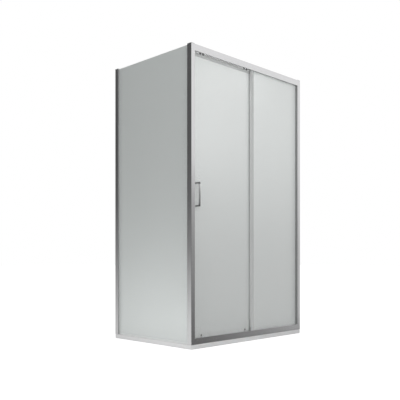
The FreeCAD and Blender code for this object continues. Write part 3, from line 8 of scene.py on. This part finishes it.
import bpy
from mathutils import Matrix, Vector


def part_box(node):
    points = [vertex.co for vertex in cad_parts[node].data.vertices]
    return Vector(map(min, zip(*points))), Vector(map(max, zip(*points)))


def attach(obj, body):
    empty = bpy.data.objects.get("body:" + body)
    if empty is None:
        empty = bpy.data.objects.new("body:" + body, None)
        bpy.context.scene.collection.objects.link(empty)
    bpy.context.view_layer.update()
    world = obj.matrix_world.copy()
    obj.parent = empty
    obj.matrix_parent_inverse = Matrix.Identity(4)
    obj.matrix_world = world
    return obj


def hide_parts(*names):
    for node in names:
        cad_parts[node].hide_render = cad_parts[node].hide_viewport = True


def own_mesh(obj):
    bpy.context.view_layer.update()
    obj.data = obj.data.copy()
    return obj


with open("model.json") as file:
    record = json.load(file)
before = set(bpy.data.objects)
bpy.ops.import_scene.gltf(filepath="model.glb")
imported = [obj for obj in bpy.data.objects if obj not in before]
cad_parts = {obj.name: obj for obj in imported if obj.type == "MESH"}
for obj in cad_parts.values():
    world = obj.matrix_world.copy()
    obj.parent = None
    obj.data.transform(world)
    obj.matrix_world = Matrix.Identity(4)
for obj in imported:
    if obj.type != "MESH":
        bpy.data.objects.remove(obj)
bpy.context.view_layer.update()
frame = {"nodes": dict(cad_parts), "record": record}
nodes = frame["nodes"]
scene = bpy.context.scene
scene.view_settings.view_transform = "Standard"

WHITE = (1.0, 1.0, 1.0)
X_AXIS, Y_AXIS, Z_AXIS = range(3)

# Share of a normal along an axis below which a face looks away from that axis
FACING_LIMIT = 0.5

# Share of metal inside a hollow profile, and the width of the step to full metal
MATTE_METAL = 0.3
MATTE_EDGE = 0.0003

# Heights of relief for metal and glass, for mouldings and for stone
FINE_RELIEF = 0.00005
MOULDED_RELIEF = 0.0001
STONE_RELIEF = 0.0002

# Roughness of every noise, and the core of a grain as a share of its size
NOISE_ROUGHNESS = 0.55
GRAIN_CORE = 0.6

# Texture cells in each metre: across and along drawn lines or clouds, and for even grains
POLISHED_LINES = (700.0, 4.0)
POLISHED_CLOUDS = (26.0, 2.5)
PLATED_LINES = (700.0, 5.0)
ANODISED_LINES = (900.0, 6.0)
ANODISED_CLOUDS = 7.0
STONE_CLOUDS = 9.0
STONE_GRAINS = 420.0
STONE_GRAIN_SIZE = 0.28
STONE_TEXTURE = 900.0
GLASS_CLOUDS = (2.2, 1.1)
GLASS_GRAIN = 1500.0
MOULDED_CLOUDS = 30.0
MOULDED_GRAIN = 900.0

# Tones, and how much of a second tone shows in the clouds or grains
STONE_TONES = ((0.66, 0.66, 0.665), (0.72, 0.72, 0.72))
STONE_GRAIN_TONE = (0.55, 0.55, 0.56)
STONE_GRAIN_SHARE = 0.35
ANODISED_CLOUD_SHARE = 0.08
CUT_GLASS_EDGE = (0.36, 0.52, 0.46)
# Painted light on the handle's bar: lighter towards the upper leg
HANDLE_BAR_PAINTED_LIGHT = ((0.50, 0.50, 0.505), (0.90, 0.90, 0.905))
# Painted shade on the handle's legs
HANDLE_LEG_PAINTED_SHADE = (0.30, 0.30, 0.305)
# Painted shade on the rear post's faces along Y
REAR_FLANK_PAINTED_SHADE = (0.53, 0.53, 0.535)


# Node helpers
class Tree:
    """The node tree of a material or a world, with short calls for the nodes used here."""

    def __init__(self, owner):
        owner.use_nodes = True
        self.tree = owner.node_tree
        self.tree.nodes.clear()

    def node(self, kind, **values):
        """A new node with some of its properties set."""
        made = self.tree.nodes.new(kind)
        for key, value in values.items():
            setattr(made, key, value)
        return made

    def link(self, source, target):
        self.tree.links.new(source, target)

    def calculate(self, operation, *values):
        """Result of an operation on outputs and numbers."""
        made = self.node("ShaderNodeMath", operation=operation)
        for socket, value in zip(made.inputs, values):
            if isinstance(value, float):
                socket.default_value = value
            else:
                self.link(value, socket)
        return made.outputs[0]

    def spread(self, value, low, high, start=0.3, end=0.7):
        """A value between start and end, spread from low to high."""
        ranged = self.node("ShaderNodeMapRange")
        ranged.inputs["From Min"].default_value = start
        ranged.inputs["From Max"].default_value = end
        ranged.inputs["To Min"].default_value = low
        ranged.inputs["To Max"].default_value = high
        self.link(value, ranged.inputs["Value"])
        return ranged.outputs["Result"]

    def share(self, value, start, end):
        """How far a value has come from start to end, from nought to one."""
        return self.spread(value, 0.0, 1.0, start, end)

    def axes(self, source="Object"):
        """The X, Y and Z outputs of the object coordinates or of the normal."""
        place = self.node("ShaderNodeTexCoord")
        parts = self.node("ShaderNodeSeparateXYZ")
        self.link(place.outputs[source], parts.inputs["Vector"])
        return parts.outputs

    def seen_directly(self):
        """One for rays from the camera, off a mirror or through glass, and nought for all others."""
        path = self.node("ShaderNodeLightPath")
        seen = self.calculate("MAXIMUM", path.outputs["Is Camera Ray"], path.outputs["Is Glossy Ray"])
        return self.calculate("MAXIMUM", seen, path.outputs["Is Transmission Ray"])


class Shader(Tree):
    """A material with one principled shader and its textures."""

    def __init__(self, name):
        self.material = bpy.data.materials.new(name)
        super().__init__(self.material)
        output = self.node("ShaderNodeOutputMaterial")
        self.body = self.node("ShaderNodeBsdfPrincipled")
        self.link(self.body.outputs["BSDF"], output.inputs["Surface"])

    def set(self, **values):
        """Constant values straight on the shader's sockets."""
        for key, value in values.items():
            self.body.inputs[key.replace("_", " ")].default_value = value

    def coordinates(self, scale):
        """Object coordinates stretched by a scale for each axis."""
        source = self.node("ShaderNodeTexCoord")
        mapping = self.node("ShaderNodeMapping")
        mapping.inputs["Scale"].default_value = scale
        self.link(source.outputs["Object"], mapping.inputs["Vector"])
        return mapping.outputs["Vector"]

    def noise(self, scale, detail=2.0):
        """Noise value over stretched object coordinates."""
        texture = self.node("ShaderNodeTexNoise")
        texture.inputs["Scale"].default_value = 1.0
        texture.inputs["Detail"].default_value = detail
        texture.inputs["Roughness"].default_value = NOISE_ROUGHNESS
        self.link(self.coordinates(scale), texture.inputs["Vector"])
        return texture.outputs["Fac"]

    def even_noise(self, scale, detail=2.0):
        """Noise with the same scale on every axis."""
        return self.noise((scale, scale, scale), detail)

    def drawn_noise(self, axis, scales):
        """Noise drawn out along an axis; scales are those across it and along it."""
        across, along = scales
        scale = [across, across, across]
        scale[axis] = along
        return self.noise(scale)

    def speckle(self, scale, size):
        """Grains: one inside each cell's core and nought outside."""
        cells = self.node("ShaderNodeTexVoronoi")
        cells.inputs["Scale"].default_value = 1.0
        self.link(self.coordinates((scale, scale, scale)), cells.inputs["Vector"])
        return self.share(cells.outputs["Distance"], size, size * GRAIN_CORE)

    def mix(self, factor, first, second):
        """Colour between two, each a tuple or an output."""
        blend = self.node("ShaderNodeMix", data_type="RGBA")
        self.link(factor, blend.inputs["Factor"])
        for socket, colour in (("A", first), ("B", second)):
            target = next(i for i in blend.inputs if i.name == socket and i.type == "RGBA")
            if isinstance(colour, tuple):
                target.default_value = (*colour, 1.0)
            else:
                self.link(colour, target)
        return next(o for o in blend.outputs if o.type == "RGBA")

    def colour(self, output):
        self.link(output, self.body.inputs["Base Color"])

    def rough(self, texture, low, high):
        """Roughness between two values after a texture."""
        self.link(self.spread(texture, low, high), self.body.inputs["Roughness"])

    def bump(self, height, strength, distance):
        """Fine relief from a texture value."""
        relief = self.node("ShaderNodeBump")
        relief.inputs["Strength"].default_value = strength
        relief.inputs["Distance"].default_value = distance
        self.link(height, relief.inputs["Height"])
        self.link(relief.outputs["Normal"], self.body.inputs["Normal"])

    def faces_away(self, axis):
        """One on faces that look away from an object axis and nought on faces that look along it."""
        along = self.calculate("ABSOLUTE", self.axes("Normal")[axis])
        return self.calculate("LESS_THAN", along, FACING_LIMIT)

    def distance(self, value, level):
        """How far a value lies from a level on either side."""
        return self.calculate("ABSOLUTE", self.calculate("SUBTRACT", value, level))

    def matte_inside(self, front, back, top):
        """Full metal on the outside and a matte finish between a front, a back and a top level."""
        place = self.axes()
        half = (back - front) / 2
        depth = self.distance(place["Y"], (front + back) / 2)
        sideways = self.spread(depth, MATTE_METAL, 1.0, half - MATTE_EDGE, half)
        upwards = self.spread(place["Z"], MATTE_METAL, 1.0, top - MATTE_EDGE, top)
        self.link(self.calculate("MAXIMUM", sideways, upwards), self.body.inputs["Metallic"])


def polished_metal(name, along, tones, rough, hollow=None, painted_flank=None):
    """Bright metal drawn along an axis; a hollow stays matte, and faces along Y can take a tone of painted
    shade.
    """
    shader = Shader(name)
    drawn = shader.drawn_noise(along, POLISHED_LINES)
    cloud = shader.drawn_noise(along, POLISHED_CLOUDS)
    tone = shader.mix(cloud, *tones)
    # Painted shade: faces along Y take the flank tone
    if painted_flank:
        tone = shader.mix(shader.faces_away("Y"), painted_flank, tone)
    shader.colour(tone)
    shader.rough(drawn, *rough)
    shader.bump(drawn, strength=0.05, distance=FINE_RELIEF)
    if hollow:
        shader.matte_inside(*hollow)
    else:
        shader.set(Metallic=1.0)
    return shader.material


def anodised_metal(name, along, levels, foot, head, painted_flank):
    """Matte anodised metal with drawn lines; the front runs from a foot to a head tone and the flanks take
    their own tone, all three painted light and shade.
    """
    shader = Shader(name)
    drawn = shader.drawn_noise(along, ANODISED_LINES)
    cloud = shader.even_noise(ANODISED_CLOUDS)
    # Painted light and shade: the front's tone runs with height, and faces along X take the flank tone
    rise = shader.share(shader.axes()["Z"], *levels)
    tone = shader.mix(shader.faces_away("Y"), shader.mix(rise, foot, head), painted_flank)
    shader.colour(shader.mix(shader.spread(cloud, 0.0, ANODISED_CLOUD_SHARE), tone, WHITE))
    shader.rough(drawn, low=0.45, high=0.58)
    shader.bump(drawn, strength=0.06, distance=FINE_RELIEF)
    shader.set(Metallic=0.05)
    return shader.material


def cast_stone():
    """Pale cast stone resin with faint grains."""
    shader = Shader("tray_stone")
    cloud = shader.even_noise(STONE_CLOUDS, detail=4.0)
    grain = shader.speckle(STONE_GRAINS, STONE_GRAIN_SIZE)
    tone = shader.mix(cloud, *STONE_TONES)
    grainy = shader.spread(grain, 0.0, STONE_GRAIN_SHARE, 0.0, 1.0)
    shader.colour(shader.mix(grainy, tone, STONE_GRAIN_TONE))
    fine = shader.even_noise(STONE_TEXTURE)
    shader.rough(fine, low=0.38, high=0.52)
    shader.bump(fine, strength=0.12, distance=STONE_RELIEF)
    return shader.material


def satin_glass(name, across, tones):
    """Satin safety glass: a fine etched grain, a pale body and greener cut edges."""
    shader = Shader(name)
    cloud = shader.drawn_noise(Z_AXIS, GLASS_CLOUDS)
    grain = shader.even_noise(GLASS_GRAIN)
    pane = shader.mix(cloud, *tones)
    shader.colour(shader.mix(shader.faces_away(across), pane, CUT_GLASS_EDGE))
    shader.rough(grain, low=0.24, high=0.34)
    shader.bump(grain, strength=0.08, distance=FINE_RELIEF)
    shader.set(IOR=1.9, Transmission_Weight=0.25, Specular_IOR_Level=0.5)
    return shader.material


def plated_handle(legs, half_width):
    """Bright plating with painted shade at the heights of the two legs and a bar painted lighter towards
    the upper leg.
    """
    shader = Shader("bright_chrome")
    drawn = shader.drawn_noise(Z_AXIS, PLATED_LINES)
    height = shader.axes()["Z"]
    # Painted shade: the tone turns dark near each leg's height
    nearest = shader.calculate("MINIMUM", *[shader.distance(height, leg) for leg in legs])
    bar = shader.share(nearest, half_width, half_width * 2.0)
    # Painted light: the bar gets lighter from the lower leg to the upper one
    rise = shader.share(height, *legs)
    tone = shader.mix(rise, *HANDLE_BAR_PAINTED_LIGHT)
    shader.colour(shader.mix(bar, HANDLE_LEG_PAINTED_SHADE, tone))
    shader.rough(drawn, low=0.06, high=0.12)
    shader.bump(drawn, strength=0.05, distance=FINE_RELIEF)
    shader.set(Metallic=1.0)
    return shader.material


def moulded(name, tones, rough, relief=0.1, **values):
    """Moulded plastic or rubber: a fine grain, slow clouds and a soft sheen."""
    shader = Shader(name)
    cloud = shader.even_noise(MOULDED_CLOUDS, detail=3.0)
    grain = shader.even_noise(MOULDED_GRAIN)
    shader.colour(shader.mix(cloud, *tones))
    shader.rough(grain, *rough)
    shader.bump(grain, strength=relief, distance=MOULDED_RELIEF)
    shader.set(**values)
    return shader.material


# Tones and roughness that several looks share
BRIGHT = ((0.74, 0.74, 0.75), (0.80, 0.80, 0.805))
DRAWN = (0.10, 0.18)
RUBBERY = (0.55, 0.75)
SOFT_SHEEN = (0.35, 0.5)

# Front, back and top of the head rail's hollow, and heights that a painted tone runs between
RAIL_HOLLOW = (-0.3993, -0.3364, 1.9768)
HANGER_PAINTED_LIGHT_LEVELS = (1.934, 1.947)
STILE_PAINTED_SHADE_LEVELS = (0.1, 1.9)
HANDLE_LEGS = (0.932, 1.082)
HANDLE_HALF_WIDTH = 0.006

looks = {
    "tray_stone": cast_stone(),
    "rail_x": polished_metal("aluminium_rail", X_AXIS, BRIGHT, DRAWN),
    "head_rail": polished_metal("aluminium_head_rail", X_AXIS, BRIGHT, DRAWN, hollow=RAIL_HOLLOW),
    "post_z": polished_metal("aluminium_post", Z_AXIS, BRIGHT, DRAWN),
    # The rear post's faces along Y carry painted shade
    "rear_post": polished_metal("aluminium_rear_post", Z_AXIS, BRIGHT, DRAWN, painted_flank=REAR_FLANK_PAINTED_SHADE),
    # Hanger: painted light, the front lighter towards its top edge against the shade under the head rail
    "satin_x": anodised_metal(
        "anodised_rail", X_AXIS, HANGER_PAINTED_LIGHT_LEVELS,
        foot=(0.40, 0.408, 0.406), head=(0.95, 0.958, 0.956), painted_flank=(0.60, 0.608, 0.606),
    ),
    # Stile: painted shade, the front darker towards the top; the lighter flank is painted light
    "satin_z": anodised_metal(
        "anodised_post", Z_AXIS, STILE_PAINTED_SHADE_LEVELS,
        foot=(0.51, 0.518, 0.516), head=(0.34, 0.348, 0.346), painted_flank=(0.69, 0.698, 0.696),
    ),
    "front_glass": satin_glass("satin_glass_front", "Y", ((0.695, 0.722, 0.713), (0.735, 0.755, 0.747))),
    "side_glass": satin_glass("satin_glass_side", "X", ((0.74, 0.778, 0.765), (0.775, 0.807, 0.796))),
    "pale_rubber": moulded("pale_rubber", ((0.58, 0.585, 0.585), (0.625, 0.63, 0.63)), RUBBERY),
    "grey_rubber": moulded("grey_rubber", ((0.235, 0.24, 0.24), (0.28, 0.285, 0.285)), RUBBERY),
    "clear_seal": moulded(
        "clear_seal", ((0.74, 0.76, 0.755), (0.80, 0.82, 0.815)), (0.18, 0.32),
        relief=0.05, Transmission_Weight=0.3, IOR=1.45,
    ),
    "pale_seal": moulded(
        "pale_seal", ((0.80, 0.82, 0.815), (0.84, 0.86, 0.855)), (0.3, 0.45),
        relief=0.05, Transmission_Weight=0.18, IOR=1.45,
    ),
    "magnet_strip": moulded("magnet_strip", ((0.035, 0.03, 0.028), (0.06, 0.052, 0.048)), (0.6, 0.8)),
    "grey_cap_plastic": moulded(
        "grey_cap_plastic", ((0.36, 0.36, 0.365), (0.42, 0.42, 0.425)), (0.28, 0.42),
    ),
    "light_plastic": moulded("light_plastic", ((0.48, 0.485, 0.485), (0.54, 0.545, 0.545)), SOFT_SHEEN),
    "housing_plastic": moulded(
        "housing_plastic", ((0.11, 0.11, 0.112), (0.15, 0.15, 0.152)), (0.4, 0.6), relief=0.2,
    ),
    "white_nylon": moulded("white_nylon", ((0.72, 0.72, 0.70), (0.80, 0.80, 0.78)), SOFT_SHEEN),
    "bright_chrome": plated_handle(HANDLE_LEGS, HANDLE_HALF_WIDTH),
    "bare_steel": polished_metal(
        "bare_steel", Y_AXIS, ((0.50, 0.50, 0.51), (0.58, 0.58, 0.59)), (0.25, 0.4),
    ),
    "black_steel": moulded(
        "black_steel", ((0.05, 0.05, 0.052), (0.08, 0.08, 0.083)), SOFT_SHEEN, Metallic=0.4,
    ),
}

# Nodes whose look isn't that of their slot alone
special = {
    "side_rear_profile": "rear_post",
    "bottom_rail": "rail_x",
    "top_rail": "head_rail",
    "door_top_profile": "satin_x",
    "interlock_profile": "satin_z",
    "interlock_foot": "light_plastic",
    "side_glass_gaskets": "pale_rubber",
    "side_bottom_seal": "pale_seal",
    "fixed_glass": "front_glass",
    "door_glass": "front_glass",
    "side_glass": "side_glass",
}
for part in frame["record"]["subparts"]:
    name = part["node"]
    slot = part["material_slot"]
    look = special.get(name, "post_z" if slot == "polished_aluminium" else slot)
    mesh = nodes[name].data
    mesh.materials.clear()
    mesh.materials.append(looks[look])


# Release springs, which close up as a guide is lifted: here a wound coil of fixed length replaces each
# spring part and is parented to the door's body
SPRING_WIRE = 0.0005
SPRING_TURNS = 6
POINTS_A_TURN = 40
POINTS_ROUND_WIRE = 12


def coil_mesh(name, low, high):
    """A round wire wound as a coil that fills the box from its low to its high corner."""
    middle = [(a + b) / 2 for a, b in zip(low, high)]
    radius = (high[0] - low[0]) / 2 - SPRING_WIRE
    start = low[2] + SPRING_WIRE
    rise = high[2] - low[2] - 2 * SPRING_WIRE
    count = SPRING_TURNS * POINTS_A_TURN
    slope = rise / (SPRING_TURNS * 2 * math.pi * radius)
    length = math.sqrt(1 + slope * slope)
    points = []
    for step in range(count + 1):
        turn = 2 * math.pi * step / POINTS_A_TURN
        outward = (math.cos(turn), math.sin(turn), 0.0)
        upward = (math.sin(turn) * slope / length, -math.cos(turn) * slope / length, 1 / length)
        centre = (
            middle[0] + radius * outward[0],
            middle[1] + radius * outward[1],
            start + rise * step / count,
        )
        for part in range(POINTS_ROUND_WIRE):
            angle = 2 * math.pi * part / POINTS_ROUND_WIRE
            across = SPRING_WIRE * math.cos(angle)
            up = SPRING_WIRE * math.sin(angle)
            points.append([c + across * o + up * u for c, o, u in zip(centre, outward, upward)])
    faces = []
    for ring in range(count):
        first = ring * POINTS_ROUND_WIRE
        second = first + POINTS_ROUND_WIRE
        for part in range(POINTS_ROUND_WIRE):
            after = (part + 1) % POINTS_ROUND_WIRE
            faces.append((first + part, first + after, second + after, second + part))
    faces.append(tuple(reversed(range(POINTS_ROUND_WIRE))))
    faces.append(tuple(range(count * POINTS_ROUND_WIRE, (count + 1) * POINTS_ROUND_WIRE)))
    mesh = bpy.data.meshes.new(name)
    mesh.from_pydata(points, [], faces)
    mesh.shade_smooth()
    return mesh


for side in ("left", "right"):
    node = side + "_guide_spring"
    low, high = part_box(node)
    coil = coil_mesh(side + "_release_coil", low, high)
    coil.materials.append(looks["bare_steel"])
    spring = bpy.data.objects.new(side + "_release_coil", coil)
    scene.collection.objects.link(spring)
    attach(spring, "door")
    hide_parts(node)
    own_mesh(spring)


# Studio
FLOOR_HALF = 30.0
FLOOR_DROP = 0.0005
FLOOR_PAINT = (0.8, 0.8, 0.8)
FLOOR_GLOW = 0.62
BACKDROP = 1.0
SOFT_LIGHT = 0.66
DIAGONAL = math.sqrt(0.5)
WIDE = math.pi

# Rows of a card: height, then the brightness at the left and at the right side of the object
FRONT_STOPS = [
    (-1.0, 0.12, 0.28), (-0.25, 0.15, 0.31), (0.0, 0.19, 0.56), (0.66, 0.30, 0.57), (1.17, 0.42, 0.70),
    (1.67, 0.81, 0.81), (2.4, 0.89, 0.88), (4.0, 0.92, 0.91),
]
SIDE_STOPS = [
    (-1.0, 0.84, 0.75), (-0.1, 0.74, 0.62), (0.14, 0.58, 0.48), (0.66, 0.27, 0.25), (1.17, 0.15, 0.13),
    (1.73, 0.11, 0.088), (2.4, 0.10, 0.10), (4.0, 0.10, 0.10),
]
CORNER_STOPS = [(-1.0, 0.20, 0.20), (0.6, 0.18, 0.18), (2.0, 0.30, 0.30), (4.0, 0.40, 0.40)]

# Name, centre, facing, width, rows, and the sums of X and Y at which the left and the right rows hold
CARDS = [
    ("front_card", (1.5, -1.9), (-DIAGONAL, DIAGONAL), 5.0, FRONT_STOPS, (-1.0, 0.6)),
    ("side_card", (-2.1, 1.6), (DIAGONAL, -DIAGONAL), 5.0, SIDE_STOPS, (-1.0, 0.2)),
    ("corner_card", (-3.9, -3.75), (DIAGONAL, DIAGONAL), 11.0, CORNER_STOPS, (-8.0, -7.0)),
]

# Name, place, target, width, height, power and spread
LAMPS = [
    ("key_left", (-0.9, -1.75, 1.75), (-0.3, -0.4, 1.75), 0.9, 0.8, 7.4, WIDE),
    ("key_right", (0.6, -1.75, 1.75), (0.4, -0.4, 1.75), 0.9, 0.8, 7.0, WIDE),
    ("low_fill", (-1.3, -0.15, 0.1), (-0.6, -0.15, 0.1), 1.1, 0.12, 2.0, WIDE),
    ("rail_fill", (-0.27, -1.35, 0.9), (-0.27, -0.366, 1.945), 1.0, 0.3, 0.14, math.radians(12.0)),
    ("foot_fill", (0.0, -1.4, 0.12), (0.0, -0.38, 0.1), 1.4, 0.1, 0.12, math.radians(60.0)),
    ("sill_fill", (-0.25, -1.4, 0.4), (-0.25, -0.36, 0.055), 0.62, 0.04, 0.03, math.radians(8.0)),
]


def flat_piece(name, corners, material):
    """An object with one face through four corners."""
    mesh = bpy.data.meshes.new(name)
    mesh.from_pydata(corners, [], [(0, 1, 2, 3)])
    mesh.materials.append(material)
    piece = bpy.data.objects.new(name, mesh)
    scene.collection.objects.link(piece)
    return piece


def card_material(name, stops, across):
    """Emission that follows the height, with one ramp at each side of the card and a blend between them."""
    material = bpy.data.materials.new(name)
    tree = Tree(material)
    place = tree.axes()
    low = stops[0][0]
    high = stops[-1][0]
    ramp = tree.node("ShaderNodeValToRGB")
    while len(ramp.color_ramp.elements) < len(stops):
        ramp.color_ramp.elements.new(0.5)
    for element, (level, left, right) in zip(ramp.color_ramp.elements, stops):
        element.position = (level - low) / (high - low)
        element.color = (left, right, 0.0, 1.0)
    sides = tree.node("ShaderNodeSeparateColor")
    choose = tree.node("ShaderNodeMix")
    glow = tree.node("ShaderNodeEmission")
    glow.inputs["Color"].default_value = (*WHITE, 1.0)
    output = tree.node("ShaderNodeOutputMaterial")
    rightward = tree.calculate("ADD", place["X"], place["Y"])
    tree.link(tree.share(place["Z"], low, high), ramp.inputs["Fac"])
    tree.link(ramp.outputs["Color"], sides.inputs["Color"])
    tree.link(tree.share(rightward, *across), choose.inputs["Factor"])
    tree.link(sides.outputs["Red"], choose.inputs["A"])
    tree.link(sides.outputs["Green"], choose.inputs["B"])
    tree.link(choose.outputs["Result"], glow.inputs["Strength"])
    tree.link(glow.outputs["Emission"], output.inputs["Surface"])
    return material


def upright_card(name, centre, facing, width, stops, across):
    """A card that only reflections see, through a centre and square to a level direction."""
    low = stops[0][0]
    high = stops[-1][0]
    side = (-facing[1] * width / 2, facing[0] * width / 2)
    near = (centre[0] - side[0], centre[1] - side[1])
    far = (centre[0] + side[0], centre[1] + side[1])
    corners = [(*near, low), (*far, low), (*far, high), (*near, high)]
    card = flat_piece(name, corners, card_material(name, stops, across))
    card.visible_camera = False
    card.visible_diffuse = False
    card.visible_shadow = False
    card.visible_transmission = False


def ground():
    """A plain pale floor: white to the camera, with the object's soft shadow on it."""
    material = bpy.data.materials.new("floor")
    tree = Tree(material)
    paint = tree.node("ShaderNodeBsdfDiffuse")
    paint.inputs["Color"].default_value = (*FLOOR_PAINT, 1.0)
    glow = tree.node("ShaderNodeEmission")
    both = tree.node("ShaderNodeAddShader")
    output = tree.node("ShaderNodeOutputMaterial")
    tree.link(tree.calculate("MULTIPLY", tree.seen_directly(), FLOOR_GLOW), glow.inputs["Strength"])
    tree.link(paint.outputs[0], both.inputs[0])
    tree.link(glow.outputs[0], both.inputs[1])
    tree.link(both.outputs[0], output.inputs["Surface"])
    corners = [
        (-FLOOR_HALF, -FLOOR_HALF, 0), (FLOOR_HALF, -FLOOR_HALF, 0),
        (FLOOR_HALF, FLOOR_HALF, 0), (-FLOOR_HALF, FLOOR_HALF, 0),
    ]
    floor = flat_piece("floor", corners, material)
    floor.location.z = -FLOOR_DROP
    floor.visible_glossy = False


def surroundings():
    """A world that is white where it is seen directly and a soft light elsewhere."""
    world = bpy.data.worlds.new("studio")
    scene.world = world
    tree = Tree(world)
    output = tree.node("ShaderNodeOutputWorld")
    choose = tree.node("ShaderNodeMixShader")
    tree.link(tree.seen_directly(), choose.inputs["Fac"])
    for socket, strength in ((1, SOFT_LIGHT), (2, BACKDROP)):
        light = tree.node("ShaderNodeBackground")
        light.inputs["Color"].default_value = (*WHITE, 1.0)
        light.inputs["Strength"].default_value = strength
        tree.link(light.outputs[0], choose.inputs[socket])
    tree.link(choose.outputs[0], output.inputs["Surface"])


def soft_box(name, place, target, width, height, power, spread):
    """A soft lamp aimed at a point; a small spread keeps its light together."""
    data = bpy.data.lights.new(name, "AREA")
    data.shape = "RECTANGLE"
    data.size = width
    data.size_y = height
    data.energy = power
    data.spread = spread
    lamp = bpy.data.objects.new(name, data)
    scene.collection.objects.link(lamp)
    lamp.location = place
    aim = [t - p for t, p in zip(target, place)]
    length = math.sqrt(sum(a * a for a in aim))
    lamp.rotation_euler = (math.acos(-aim[2] / length), 0.0, math.atan2(aim[1], aim[0]) - math.pi / 2)
    lamp.visible_glossy = False
    lamp.visible_camera = False


for card in CARDS:
    upright_card(*card)
ground()
surroundings()
for lamp in LAMPS:
    soft_box(*lamp)

# Camera: level, at the photo's corner, with the lens shifted; sensor and lens in millimetres
camera = bpy.data.objects.new("camera", bpy.data.cameras.new("camera"))
scene.collection.objects.link(camera)
camera.data.sensor_width = 36.0
camera.data.lens = 53.76
camera.data.shift_x = 0.0125
camera.data.shift_y = 0.1408
camera.location = (-3.298, -3.131, 0.602)
camera.rotation_euler = (math.pi / 2, 0.0, -math.pi / 4)
scene.camera = camera
